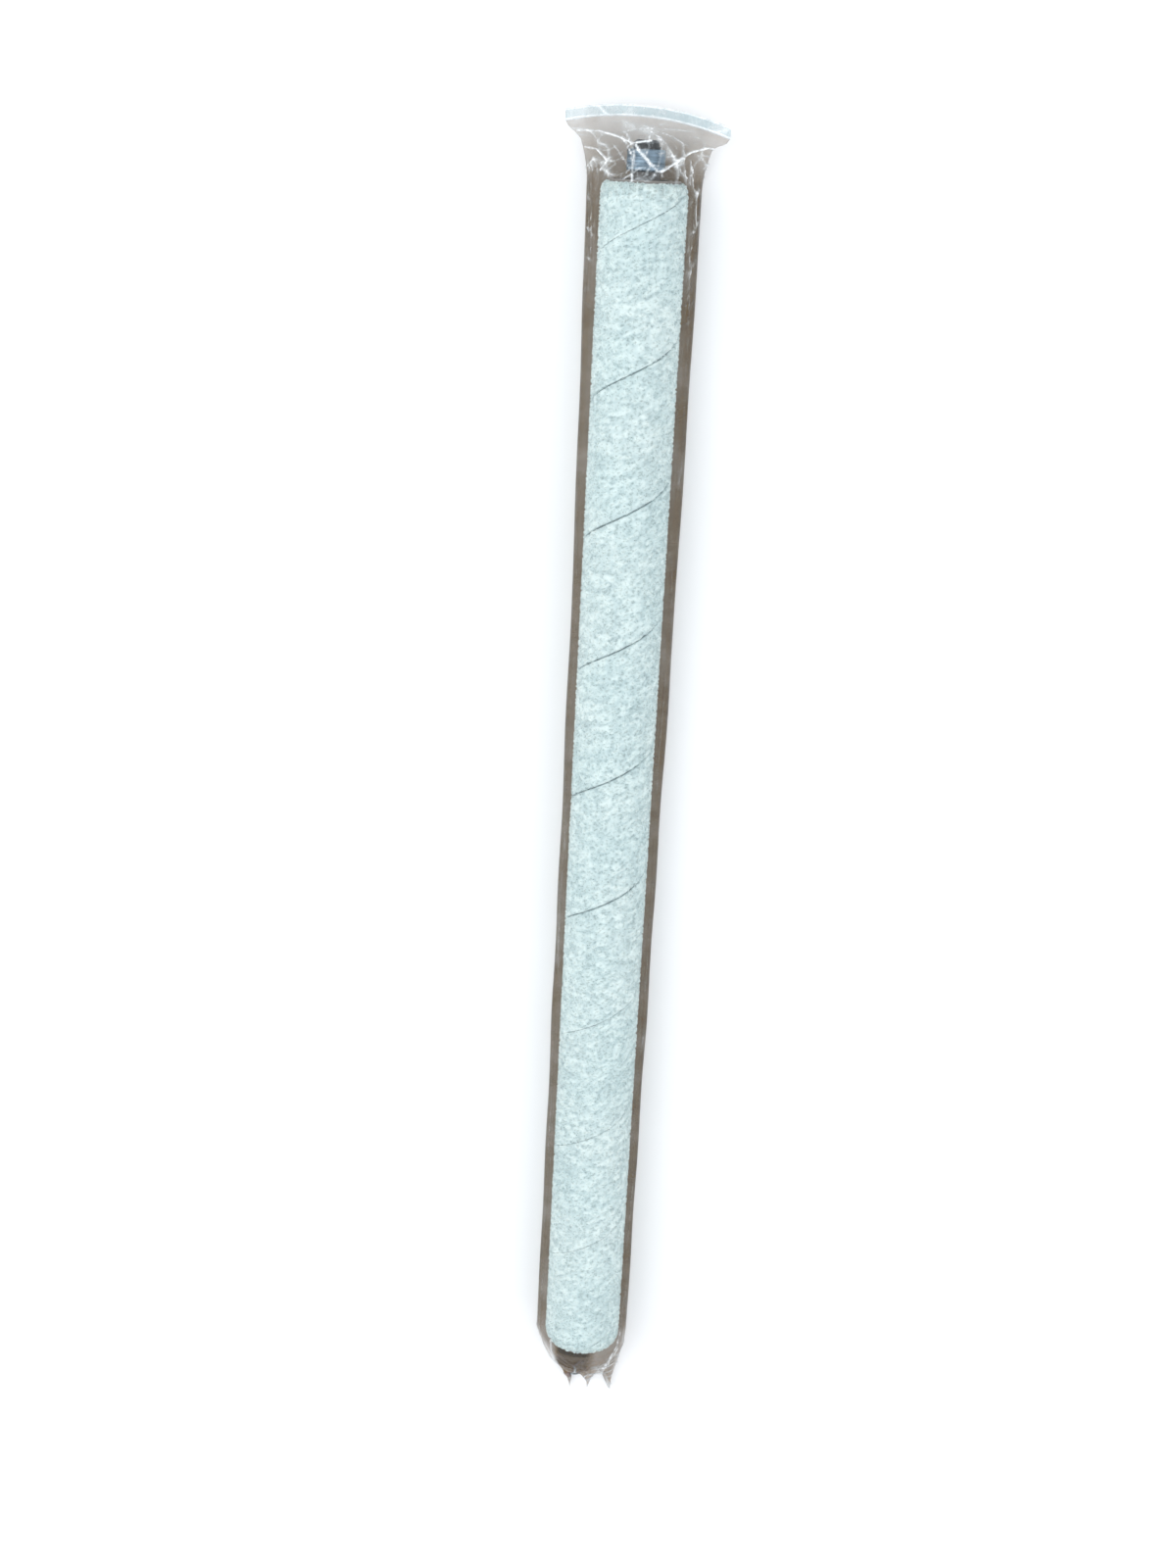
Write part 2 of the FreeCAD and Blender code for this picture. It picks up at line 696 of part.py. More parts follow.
def bag_mouth():
    """The tail end of the bag, drawn in to an open mouth."""
    film = size("film")
    start = size(TAIL_FACE) - size("sleeve_overhang")
    end = size(TAIL_FACE) - size("mouth_reach")
    mouth = (size("mouth_half_width"), film, size("mouth_height"))
    stations = [
        (end, arch(*mouth, 0), arch(*mouth, film)),
        (start, sleeve_section(0), sleeve_section(film)),
    ]
    return film_node("bag_mouth", film_shell(stations))


def build():
    """Makes every sub-part, each with the name of its node."""
    made = [core_tube(), plush_cover(), axle(), axle_rings(), collar(), collar_screw(), cap()]
    for end in ("lock", "tail"):
        made += [hub(end), hub_ring(end), dust_cover(end)]
        made += [outer_race(end), inner_race(end), seals(end), balls(end), cage(end)]
    made += [bag_sleeve(), bag_head(), bag_mouth()]
    doc.recompute()
    for item in doc.Objects:
        if {"Invalid", "Error"} & set(item.State):
            raise RuntimeError(f"{item.Label} did not recompute: {item.State}")
    return made


os.makedirs("parts", exist_ok=True)
for node in build():
    if node.Shape.isNull() or not node.Shape.isValid():
        raise RuntimeError(f"{node.Label} is not a valid shape")
    node.Shape.exportStep(f"parts/{node.Label}.step")
    print(node.Label, len(node.Shape.Solids), round(node.Shape.Volume, 1))
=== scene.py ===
"""A plush-covered idler roller in its clear film bag, on a pale floor.

Everything is in metres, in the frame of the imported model: +X along the roller towards its lock
end, +Z up, and the bag lying on z = 0.
"""

import math

import bmesh
import bpy
import numpy as np
from mathutils import Matrix, Vector


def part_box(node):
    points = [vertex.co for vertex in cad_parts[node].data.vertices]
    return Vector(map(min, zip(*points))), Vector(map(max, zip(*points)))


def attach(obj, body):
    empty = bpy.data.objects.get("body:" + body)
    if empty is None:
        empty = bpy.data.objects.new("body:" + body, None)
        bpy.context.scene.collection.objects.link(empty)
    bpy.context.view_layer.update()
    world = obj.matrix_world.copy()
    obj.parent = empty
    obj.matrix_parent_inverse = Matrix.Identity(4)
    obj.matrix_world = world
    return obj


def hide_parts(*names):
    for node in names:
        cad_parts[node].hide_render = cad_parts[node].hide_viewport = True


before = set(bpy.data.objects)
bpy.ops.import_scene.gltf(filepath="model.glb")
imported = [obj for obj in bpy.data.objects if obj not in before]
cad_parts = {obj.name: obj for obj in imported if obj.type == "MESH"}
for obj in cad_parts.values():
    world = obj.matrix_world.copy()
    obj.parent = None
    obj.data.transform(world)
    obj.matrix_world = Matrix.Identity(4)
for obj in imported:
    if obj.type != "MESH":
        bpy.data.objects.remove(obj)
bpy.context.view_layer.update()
MM = 0.001

# Sizes of the real roller, read from the frame where it holds them.
plush_low, plush_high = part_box("plush_cover")
tube_low, tube_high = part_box("core_tube")
bag_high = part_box("bag_sleeve")[1]
head_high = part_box("bag_head")[1]
mouth_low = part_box("bag_mouth")[0]
cap_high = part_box("axle_cap")[1]
ROLLER_START, ROLLER_END = plush_low.x, plush_high.x
ROLLER_LENGTH = ROLLER_END - ROLLER_START
AXIS_Z = (plush_low.z + plush_high.z) / 2
PLUSH_RADIUS = (plush_high.z - plush_low.z) / 2
TUBE_RADIUS = (tube_high.z - tube_low.z) / 2
BACKING = 1.0 * MM
ROOT = TUBE_RADIUS + BACKING  # radius that the pile grows from
PITCH = 82 * MM  # how far the strip advances in one turn
FIRST_SEAM = 21.5 * MM  # from the lock end to the first seam on the top line


def to_linear(code):
    """An sRGB hex colour as a linear RGBA value."""
    parts = [int(code[i : i + 2], 16) / 255 for i in (1, 3, 5)]
    return [c / 12.92 if c <= 0.04045 else ((c + 0.055) / 1.055) ** 2.4 for c in parts] + [1.0]


def deselect():
    """Leaves nothing selected, so that the next operator acts on new pieces only."""
    for item in bpy.context.selected_objects:
        item.select_set(False)


def mesh_object(name, points, faces):
    """A smooth-shaded mesh from arrays of points and of faces that all have the same sides."""
    mesh = bpy.data.meshes.new(name)
    sides = faces.shape[1]
    mesh.vertices.add(len(points))
    mesh.vertices.foreach_set("co", np.asarray(points, np.float32).ravel())
    mesh.loops.add(faces.size)
    mesh.loops.foreach_set("vertex_index", faces.astype(np.int32).ravel())
    mesh.polygons.add(len(faces))
    mesh.polygons.foreach_set("loop_start", np.arange(0, faces.size, sides, dtype=np.int32))
    mesh.update(calc_edges=True)
    mesh.polygons.foreach_set("use_smooth", np.full(len(faces), True))
    item = bpy.data.objects.new(name, mesh)
    bpy.context.collection.objects.link(item)
    return item


def clean(item):
    """Removes the faces that clipping at the roller's ends left without area."""
    work = bmesh.new()
    work.from_mesh(item.data)
    bmesh.ops.dissolve_degenerate(work, edges=work.edges, dist=0.02 * MM)
    work.to_mesh(item.data)
    work.free()


def write_attribute(item, name, values):
    """A number for each point of a mesh, which a material reads."""
    field = item.data.attributes.new(name, "FLOAT", "POINT")
    field.data.foreach_set("value", np.ascontiguousarray(values, np.float32).ravel())


def grid_faces(rows, columns, closed=False):
    """Quads over a grid of rows by columns of points; closed joins the last column to the first."""
    across = columns if closed else columns - 1
    i, j = np.meshgrid(np.arange(rows - 1), np.arange(across), indexing="ij")
    here, after = i * columns, (i + 1) * columns
    right = (j + 1) % columns
    return np.stack([here + j, after + j, after + right, here + right], -1).reshape(-1, 4)


def smooth(low, high, value):
    """0 below low, 1 above high, and an easy rise between them."""
    share = np.clip((value - low) / (high - low), 0, 1)
    return share * share * (3 - 2 * share)


# ---------------------------------------------------------------- camera, floor and light


def make_camera():
    """Above the roller and a little beyond its lock end, turned so that the lock end is up."""
    offset = Vector((33.7, 14.9, 1160.2)) * MM
    right = Vector((0.04797, -0.99861, -0.01631))
    up = Vector((0.94543, 0.05067, -0.32151))
    back = right.cross(up)
    data = bpy.data.cameras.new("camera")
    data.sensor_fit = "VERTICAL"
    data.sensor_width = 36
    data.sensor_height = 36
    data.lens = 45
    data.clip_start = 0.01
    camera = bpy.data.objects.new("camera", data)
    turn = Matrix((right, up, back)).transposed().to_4x4()
    camera.matrix_world = Matrix.Translation(Vector((ROLLER_END, 0, AXIS_Z)) + offset) @ turn
    bpy.context.collection.objects.link(camera)
    bpy.context.scene.camera = camera


def make_floor():
    """A wide pale sweep, lying just under the bag."""
    deselect()
    bpy.ops.mesh.primitive_plane_add(size=12, location=(0, 0, -0.2 * MM))
    floor = bpy.context.object
    floor.name = "studio_floor"
    floor.data.materials.append(studio_paper())


def add_light(name, strength, place):
    """A soft rectangular lamp, aimed at the floor under the roller's middle."""
    data = bpy.data.lights.new(name, "AREA")
    data.shape = "RECTANGLE"
    data.size, data.size_y = 1.8, 1.4
    data.energy = strength
    light = bpy.data.objects.new(name, data)
    light.rotation_euler = (-Vector(place)).to_track_quat("-Z", "Y").to_euler()
    light.location = place
    bpy.context.collection.objects.link(light)


def make_light():
    """A large soft source high on the far side, a weaker one opposite, and a bright pale room."""
    add_light("key_light", 19, (0.5, 1.3, 1.7))
    add_light("fill_light", 11, (-0.3, -1.4, 1.6))
    world = bpy.data.worlds.new("studio_air")
    bpy.context.scene.world = world
    world.use_nodes = True
    sky = world.node_tree.nodes["Background"]
    sky.inputs["Color"].default_value = to_linear("#f4f8ff")
    sky.inputs["Strength"].default_value = 1.0
    bpy.context.scene.view_settings.view_transform = "Standard"


# ---------------------------------------------------------------- materials


def new_material(name):
    """A material, its node tree and its shader."""
    material = bpy.data.materials.new(name)
    material.use_nodes = True
    tree = material.node_tree
    return material, tree, tree.nodes["Principled BSDF"]


def plug(tree, node, **values):
    """Gives a node's sockets their values or links. A node given as a value stands for its first
    output, an underscore for a space in a socket's name, and input_6 for socket number 6."""
    for key, value in values.items():
        if key.startswith("input_"):
            socket = node.inputs[int(key[6:])]
        else:
            socket = node.inputs[key.replace("_", " ")]
        if isinstance(value, bpy.types.Node):
            value = value.outputs[0]
        if isinstance(value, bpy.types.NodeSocket):
            tree.links.new(value, socket)
        else:
            socket.default_value = value


def add(tree, kind, settings=None, stops=(), **values):
    """Adds a node with its own settings, a ramp's (position, hex colour) stops, and the values
    or links of its sockets."""
    node = tree.nodes.new(kind)
    for key, value in (settings or {}).items():
        setattr(node, key, value)
    if stops:
        marks = node.color_ramp.elements
        while len(marks) < len(stops):
            marks.new(0.5)
        for mark, (at, colour) in zip(marks, stops):
            mark.position = at
            mark.color = to_linear(colour)
    plug(tree, node, **values)
    return node


def pattern(tree, size_mm, kind="ShaderNodeTexNoise", stretch=(1, 1, 1), **values):
    """A texture whose grain is size_mm, on Object coordinates stretched by the given factors."""
    place = add(tree, "ShaderNodeTexCoord").outputs["Object"]
    scaled = add(tree, "ShaderNodeMapping", Vector=place, Scale=stretch)
    return add(tree, kind, Vector=scaled, Scale=1 / (size_mm * MM), **values)


def studio_paper():
    """Matt paper sweep: nearly white, with a faint unevenness."""
    material, tree, shader = new_material("studio_paper")
    cloud = pattern(tree, 400)
    colour = add(tree, "ShaderNodeValToRGB", stops=[(0.3, "#f1f1ef"), (0.7, "#f6f6f5")], Fac=cloud)
    plug(tree, shader, Base_Color=colour, Roughness=0.9)
    return material


def pile_yarn():
    """Cut-pile polyester yarn: white with a cool cast, with painted shade that greys it towards
    the roots, between clumps and beside the seams, and painted light at the roller's ends.
    """
    material, tree, shader = new_material("cut_pile_polyester")
    tip = add(tree, "ShaderNodeAttribute", {"attribute_name": "tip"}).outputs["Fac"]
    # painted shade: the pile is drawn greyer towards its roots
    painted_root_shade = [(0.0, "#d9e6e8"), (0.6, "#eaf5f7"), (1.0, "#f2fafb")]
    painted_root_shade = add(tree, "ShaderNodeValToRGB", stops=painted_root_shade, Fac=tip)
    # painted shade between clumps and beside the seams, and painted light at the roller's ends, from
    # the shade attribute
    shade = add(tree, "ShaderNodeAttribute", {"attribute_name": "shade"}).outputs["Fac"]
    tufts = [(0.0, "#8fa3a8"), (0.5, "#cfdfe1"), (1.0, "#eaf6f6")]
    tufts = add(tree, "ShaderNodeValToRGB", stops=tufts, Fac=shade)
    patches = pattern(tree, 38, Detail=3.0, Roughness=0.55)
    cast = add(tree, "ShaderNodeValToRGB", stops=[(0.35, "#f6f1ec"), (0.65, "#fff6f0")], Fac=patches)
    multiply = {"data_type": "RGBA", "blend_type": "MULTIPLY"}
    colour = add(tree, "ShaderNodeMix", multiply, Factor=1.0, input_6=painted_root_shade, input_7=tufts)
    colour = add(tree, "ShaderNodeMix", multiply, Factor=1.0, input_6=colour.outputs[2], input_7=cast)
    plug(
        tree, shader, Base_Color=colour.outputs[2], Roughness=0.8, Sheen_Weight=0.2,
        Sheen_Roughness=0.4,
    )
    return material


def woven_backing():
    """Woven polyester ground of the plush: a pale grey weave, seen only between tufts. Its
    threads are drawn a little coarser than real ones, so that they show."""
    material, tree, shader = new_material("woven_polyester_ground")
    weave = pattern(tree, 0.7, "ShaderNodeTexWave", Distortion=1.0).outputs["Fac"]
    colour = add(tree, "ShaderNodeValToRGB", stops=[(0.2, "#aebcbf"), (0.8, "#cbd8da")], Fac=weave)
    bump = add(tree, "ShaderNodeBump", Height=weave, Strength=0.5, Distance=0.1 * MM)
    plug(tree, shader, Base_Color=colour, Roughness=0.9, Normal=bump)
    return material


def blown_film():
    """Clear blown polyethylene: see-through and glossy. It is almost clear where it lies on the
    pile and takes a brown tint where two layers stand clear of it, which darkens to painted
    shadow inside the mouth. Painted glints whiten it along its creases, and painted sheen lies
    in broad patches on the head."""
    material, tree, shader = new_material("clear_blown_polyethylene")
    glint_and_whitening, tint_and_shade, weld = (
        add(tree, "ShaderNodeAttribute", {"attribute_name": name}).outputs["Fac"]
        for name in ("glint_and_whitening", "tint_and_shade", "weld")
    )
    multiply, most = {"operation": "MULTIPLY"}, {"operation": "MAXIMUM"}

    # how much it hides: the brown tint and painted shadow, made uneven, or the painted glints along
    # the creases, broken up
    cloud = pattern(tree, 30, Detail=4.0, Roughness=0.6)
    tint_unevenness = add(
        tree, "ShaderNodeMapRange", Value=cloud, From_Min=0.3, From_Max=0.7, To_Min=0.8, To_Max=1.2,
    )
    uneven_tint_and_shade = add(tree, "ShaderNodeMath", multiply, input_0=tint_and_shade, input_1=tint_unevenness)
    glint = pattern(tree, 5, Detail=3.0, Roughness=0.65)
    broken = add(
        tree, "ShaderNodeMapRange", Value=glint, From_Min=0.35, From_Max=0.6, To_Min=0.35, To_Max=1.15,
    )
    white = add(tree, "ShaderNodeMath", multiply, input_0=glint_and_whitening, input_1=broken)
    alpha = add(tree, "ShaderNodeMath", most, input_0=uneven_tint_and_shade, input_1=white)

    # its colour: a brown tint that darkens to painted shadow, lightened by the painted glints along
    # the creases
    body = [(0.05, "#e6eef0"), (0.10, "#735b35"), (0.70, "#735b35"), (0.95, "#3a2d17")]
    body = add(tree, "ShaderNodeValToRGB", stops=body, Fac=tint_and_shade)
    shine = [(0.0, "#000000"), (0.2, "#dfe8e9"), (0.6, "#fbffff")]
    shine = add(tree, "ShaderNodeValToRGB", stops=shine, Fac=white)
    lighten = {"data_type": "RGBA", "blend_type": "LIGHTEN"}
    film = add(tree, "ShaderNodeMix", lighten, Factor=1.0, input_6=body, input_7=shine).outputs[2]

    # the weld: pressed white, and denser where it melted more
    pressed = add(tree, "ShaderNodeValToRGB", stops=[(0.1, "#b4c6c9"), (0.5, "#f6fdfd")], Fac=white)
    mix = {"data_type": "RGBA", "blend_type": "MIX"}
    film = add(tree, "ShaderNodeMix", mix, Factor=weld, input_6=film, input_7=pressed).outputs[2]
    melt = add(
        tree, "ShaderNodeMapRange", Value=pattern(tree, 9, Detail=3.0), From_Min=0.35,
        From_Max=0.65, To_Min=0.25, To_Max=0.6,
    )
    dense = add(tree, "ShaderNodeMath", multiply, input_0=weld, input_1=melt)
    alpha = add(tree, "ShaderNodeMath", most, input_0=alpha, input_1=dense)

    bump = add(tree, "ShaderNodeBump", Height=glint, Strength=0.3, Distance=0.4 * MM)
    plug(tree, shader, Base_Color=film, Roughness=0.14, IOR=1.51, Alpha=alpha, Normal=bump)
    return material


def turned_metal(name, dark, light, roughness, line_mm, lines_along=False, metallic=1.0):
    """Machined metal: tool lines round the axle or along it, and cloudy wear over them. The lines
    are drawn coarser than real ones, so that they show."""
    material, tree, shader = new_material(name)
    stretch = (0.02, 1, 1) if lines_along else (1, 0.04, 0.04)
    lines = pattern(tree, line_mm, stretch=stretch, Detail=2.0)
    colour = add(tree, "ShaderNodeValToRGB", stops=[(0.25, dark), (0.75, light)], Fac=lines)
    wear = pattern(tree, 6, Detail=4.0, Roughness=0.6)
    dull = add(
        tree, "ShaderNodeMapRange", Value=wear, From_Min=0.3, From_Max=0.7,
        To_Min=roughness * 0.8, To_Max=roughness * 1.25,
    )
    bump = add(tree, "ShaderNodeBump", Height=lines, Strength=0.35, Distance=0.03 * MM)
    plug(tree, shader, Base_Color=colour, Metallic=metallic, Roughness=dull, Normal=bump)
    return material


def moulded_plastic(name, dark, light, roughness, grain_mm, ior):
    """Injection-moulded plastic: a spark-eroded grain and a slight unevenness of colour. The
    grain is drawn coarser than the real one, so that it shows."""
    material, tree, shader = new_material(name)
    cloud = pattern(tree, 7, Detail=3.0)
    colour = add(tree, "ShaderNodeValToRGB", stops=[(0.3, dark), (0.7, light)], Fac=cloud)
    grain = pattern(tree, grain_mm, Detail=1.0)
    dull = add(
        tree, "ShaderNodeMapRange", Value=grain, From_Min=0.3, From_Max=0.7,
        To_Min=roughness * 0.9, To_Max=roughness * 1.15,
    )
    bump = add(tree, "ShaderNodeBump", Height=grain, Strength=0.3, Distance=0.03 * MM)
    plug(tree, shader, Base_Color=colour, Roughness=dull, IOR=ior, Normal=bump)
    return material


def finish_nodes():
    """Gives every carried-over piece of the frame its own material."""
    finishes = {
        # drawn tube: pale, with long draw lines
        turned_metal("drawn_aluminium", "#b9bdc0", "#dadddf", 0.34, 0.3, lines_along=True): [
            "core_tube",
        ],
        # centreless-ground bar: bright, with close rings
        turned_metal("ground_steel_bar", "#9a9fa3", "#c9ced2", 0.26, 0.25): ["axle"],
        # turned and blue-passivated zinc: a blue-grey body with broad bright bands
        turned_metal("blue_passivated_zinc", "#35444f", "#8a9fae", 0.42, 1.3): ["set_collar"],
        # phosphated and oiled spring steel: nearly black, satin
        turned_metal("phosphated_spring_steel", "#1d1e20", "#38393b", 0.46, 0.4, metallic=0.6): [
            "axle_retaining_rings", "collar_grub_screw", "hub_retaining_ring_lock",
            "hub_retaining_ring_tail",
        ],
        # ground and honed bearing steel: mirror-like with a cool cast
        turned_metal("honed_bearing_steel", "#b4b9be", "#dde1e5", 0.12, 0.2): [
            f"bearing_{piece}_{end}"
            for piece in ("outer_race", "inner_race", "balls")
            for end in ("lock", "tail")
        ],
        # acetal: deep black with a soft gloss
        moulded_plastic("black_moulded_acetal", "#050607", "#101214", 0.38, 0.5, ior=1.48): [
            "axle_cap",
        ],
        # glass-filled nylon: warm mid grey, matt
        moulded_plastic("grey_moulded_nylon", "#77716a", "#8b857d", 0.55, 0.6, ior=1.53): [
            "hub_lock", "hub_tail",
        ],
        # polypropylene covers: dark warm grey, matt
        moulded_plastic("dark_moulded_polypropylene", "#4a4742", "#5f5b55", 0.5, 0.6, ior=1.49): [
            "dust_cover_lock", "dust_cover_tail",
        ],
        # nitrile rubber: black, dry and powdery
        moulded_plastic("moulded_nitrile_rubber", "#0e0e0f", "#1b1b1c", 0.72, 0.4, ior=1.52): [
            "bearing_seals_lock", "bearing_seals_tail",
        ],
        # unfilled nylon: cream, waxy
        moulded_plastic("natural_moulded_nylon", "#c6bb9c", "#ddd4b9", 0.42, 0.5, ior=1.53): [
            "bearing_cage_lock", "bearing_cage_tail",
        ],
    }
    for material, names in finishes.items():
        for name in names:
            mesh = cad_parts[name].data
            mesh.materials.clear()
            mesh.materials.append(material)


# ---------------------------------------------------------------- plush

PILE_PIECES = 6
TUFTS_EACH = 20000
TUFT_WIDTH = (0.6, 0.95)  # in millimetres, from the thinnest to the thickest
TUFT_SHORTEST = 0.5 * MM
TUFT_SEED = 40
BED_STEP = 1.45 * MM  # from point to point of the pile's body
BED_RIM = (0.15, 0.45, 0.9)  # closer points beside the seam, in millimetres from it
BACKING_STEPS = (72, 15)  # points of the backing in a turn, and across the strip
GLUE = 0.05 * MM  # between the tube and the backing
SEAM_GAP = 0.3 * MM  # between the two edges of the backing
END_ROUND = 7.5 * MM  # the pile is rounded off over this length at both ends,
END_DROP = 4.2 * MM  # by this much
PILE_FLUFF = 0.8 * MM  # how far the pile stands out past the ends of its backing
CLUMP_ALONG = 1.8 * MM  # a clump of pile, along the roller
CLUMP_ROUND = 3.9 * MM  # and round it
CLUMP_SLOPE = 0.22  # how far a row of clumps climbs along the roller as it goes round
CLUMP_JITTER = 0.42  # how far a clump's middle strays, as a share of its size
CLUMP_SEED = 7
CLUMP_MARGIN = 25  # spare rows of clumps before the roller's tail end,
CLUMP_SPARE = 60  # and in all
SEAM_OPENS = (50 * MM, 75 * MM)  # how far from the lock end the seam comes to show,
SEAM_SHUTS = (455 * MM, 490 * MM)  # and closes over again


def seam_distance(x, turn):
    """How far a point on the cover is from the nearest seam, and on which side, along the roller."""
    along = (x - (ROLLER_END - FIRST_SEAM)) - PITCH * turn / (2 * math.pi)
    return (along + PITCH / 2) % PITCH - PITCH / 2


def seam_open(x):
    """How far the pile leaves the seam open: hardly over the first turn and the last few."""
    down = ROLLER_END - x
    gape = smooth(*SEAM_OPENS, down) * (1 - smooth(*SEAM_SHUTS, down))
    return 0.12 + 0.88 * gape


def on_cover(x, turn, radius):
    """Points at x along the roller, turned from its top line towards -Y."""
    return np.stack([x, -radius * np.sin(turn), AXIS_Z + radius * np.cos(turn)], -1)


def helix(steps_a_turn, places):
    """Turns along the strip, longer than the roller at both ends, and places across it."""
    turns = ROLLER_LENGTH / PITCH + 1
    turn = np.linspace(-2 * math.pi * turns, 2 * math.pi, int((turns + 1) * steps_a_turn))
    return np.meshgrid(turn, places, indexing="ij")


def plush_strip():
    """The strip's woven backing, wound round the tube with its edges butted."""
    radius = TUBE_RADIUS + GLUE + BACKING
    overhang = 0.5 * MM  # of the pile past the backing's ends
    a_turn, across = BACKING_STEPS
    turn, share = helix(a_turn, np.linspace(0, 1, across))
    start = (ROLLER_END - FIRST_SEAM) + PITCH * turn / (2 * math.pi)
    x = start + SEAM_GAP / 2 + (PITCH - SEAM_GAP) * share
    x = np.clip(x, ROLLER_START + overhang, ROLLER_END - overhang)
    points = on_cover(x, turn, radius).reshape(-1, 3)
    item = mesh_object("plush_backing", points, grid_faces(*x.shape)[:, ::-1])
    clean(item)
    return item


def tuft_shape():
    """One tuft of pile, plump and three-sided: height, lean, and two widths for each corner."""
    rings = ((0.35, 0.1, 0.55), (0.82, 0.65, 0.48))
    points = []
    for height, lean, width in rings:
        for k in range(3):
            angle = 2 * math.pi * k / 3
            points.append((height, lean, width * math.cos(angle), width * math.sin(angle)))
    points.append((1.0, 1.0, 0.0, 0.0))
    faces = []
    for k in range(3):
        n = (k + 1) % 3
        faces += [(k, n, 3 + n), (k, 3 + n, 3 + k), (3 + k, 3 + n, 6)]
    return np.array(points), np.array(faces)


class Clumps:
    """Irregular clumps over the whole cover: each tuft belongs to the nearest clump's middle."""

    def __init__(self, seed):
        rng = np.random.default_rng(seed)
        self.rows = int(ROLLER_LENGTH / CLUMP_ALONG) + CLUMP_SPARE
        self.columns = round(2 * math.pi * PLUSH_RADIUS / CLUMP_ROUND)
        self.offset = rng.uniform(-CLUMP_JITTER, CLUMP_JITTER, (self.rows, self.columns, 2))
        self.tone = rng.normal(0, 1, (self.rows, self.columns))

    def nearest(self, x, turn):
        """The way from each tuft to its clump's middle, its distance from 0 to 1, and its tone."""
        round_it = turn / (2 * math.pi) * self.columns
        slope = CLUMP_SLOPE * np.sin(turn) * PLUSH_RADIUS
        along = (x - ROLLER_START - slope) / CLUMP_ALONG + CLUMP_MARGIN
        row, column = np.floor(along).astype(int), np.floor(round_it).astype(int)
        best = np.full(len(x), 9.0)
        to_along, to_round, tone = np.zeros((3, len(x)))
        for i in (-1, 0, 1):
            for j in (-1, 0, 1):
                r, c = row + i, (column + j) % self.columns
                jitter = self.offset[r, c]
                da = row + i + 0.5 + jitter[:, 0] - along
                dr = column + j + 0.5 + jitter[:, 1] - round_it
                distance = np.hypot(da, dr)
                nearer = distance < best
                best = np.where(nearer, distance, best)
                to_along = np.where(nearer, da, to_along)
                to_round = np.where(nearer, dr, to_round)
                tone = np.where(nearer, self.tone[r, c], tone)
        return to_along * CLUMP_ALONG, to_round * CLUMP_ROUND, np.clip(best, 0, 1), tone


def end_fall(edge):
    """How far the pile's edge has rounded off, at a distance from the end of the roller."""
    left = np.clip(1 - edge / END_ROUND, 0, 1)
    return END_DROP * (1 - np.sqrt(1 - left**2))


def shading(far, tone, by_seam, edge):
    """How bright the pile is drawn, from 0 to 1: painted shade between clumps and beside a seam,
    painted light where the pile rounds off at the ends of the roller, and a tone that differs
    at random from clump to clump."""
    # painted light where the pile rounds off at the roller's ends, and painted shade between clumps
    # and beside the seams
    painted_end_light = 0.2 * np.clip(1 - edge / END_ROUND, 0, 1)
    bright = 0.28 * np.maximum(tone, 0) + 0.10 * np.minimum(tone, 0)
    return 0.73 - 0.42 * far**1.5 + bright - 0.5 * by_seam + painted_end_light


def pile_bed(clumps):
    """The body of the pile, which the tufts stand out of: one helical strip, rounded off at both
    seam edges and at the ends of the roller."""
    rim = np.array(BED_RIM) * MM
    middle = np.arange(rim[-1] + BED_STEP, PITCH - rim[-1] - BED_STEP / 2, BED_STEP)
    places = np.concatenate([rim, middle, PITCH - rim[::-1]])
    turn, place = helix(round(2 * math.pi * PLUSH_RADIUS / BED_STEP), places)
    x = (ROLLER_END - FIRST_SEAM) + PITCH * turn / (2 * math.pi) + place
    x = np.clip(x, ROLLER_START, ROLLER_END)
    _, _, far, tone = (f.reshape(x.shape) for f in clumps.nearest(x.ravel(), turn.ravel()))
    from_seam = np.minimum(place, PITCH - place)
    height = (PLUSH_RADIUS - ROOT) * (0.80 - 0.24 * far**2 + 0.05 * np.clip(tone, -1, 1.5))
    dip = 1 - smooth(0, 1.1 * MM, from_seam) ** 0.4
    height = height * (1 - 0.55 * dip * seam_open(x))
    edge = np.minimum(x - ROLLER_START, ROLLER_END - x)
    height = height - end_fall(edge)
    points = on_cover(x, turn, ROOT + np.maximum(height, 0)).reshape(-1, 3)
    item = mesh_object("plush_pile_bed", points, grid_faces(*x.shape)[:, ::-1])
    by_seam = np.clip(1 - from_seam / (0.9 * MM), 0, 1) * seam_open(x)
    write_attribute(item, "tip", np.full(x.size, 0.5))
    # painted shade between clumps and beside the seam, and painted light at the roller's ends
    write_attribute(item, "shade", np.clip(shading(far, tone, by_seam, edge), 0, 1))
    clean(item)
    return item


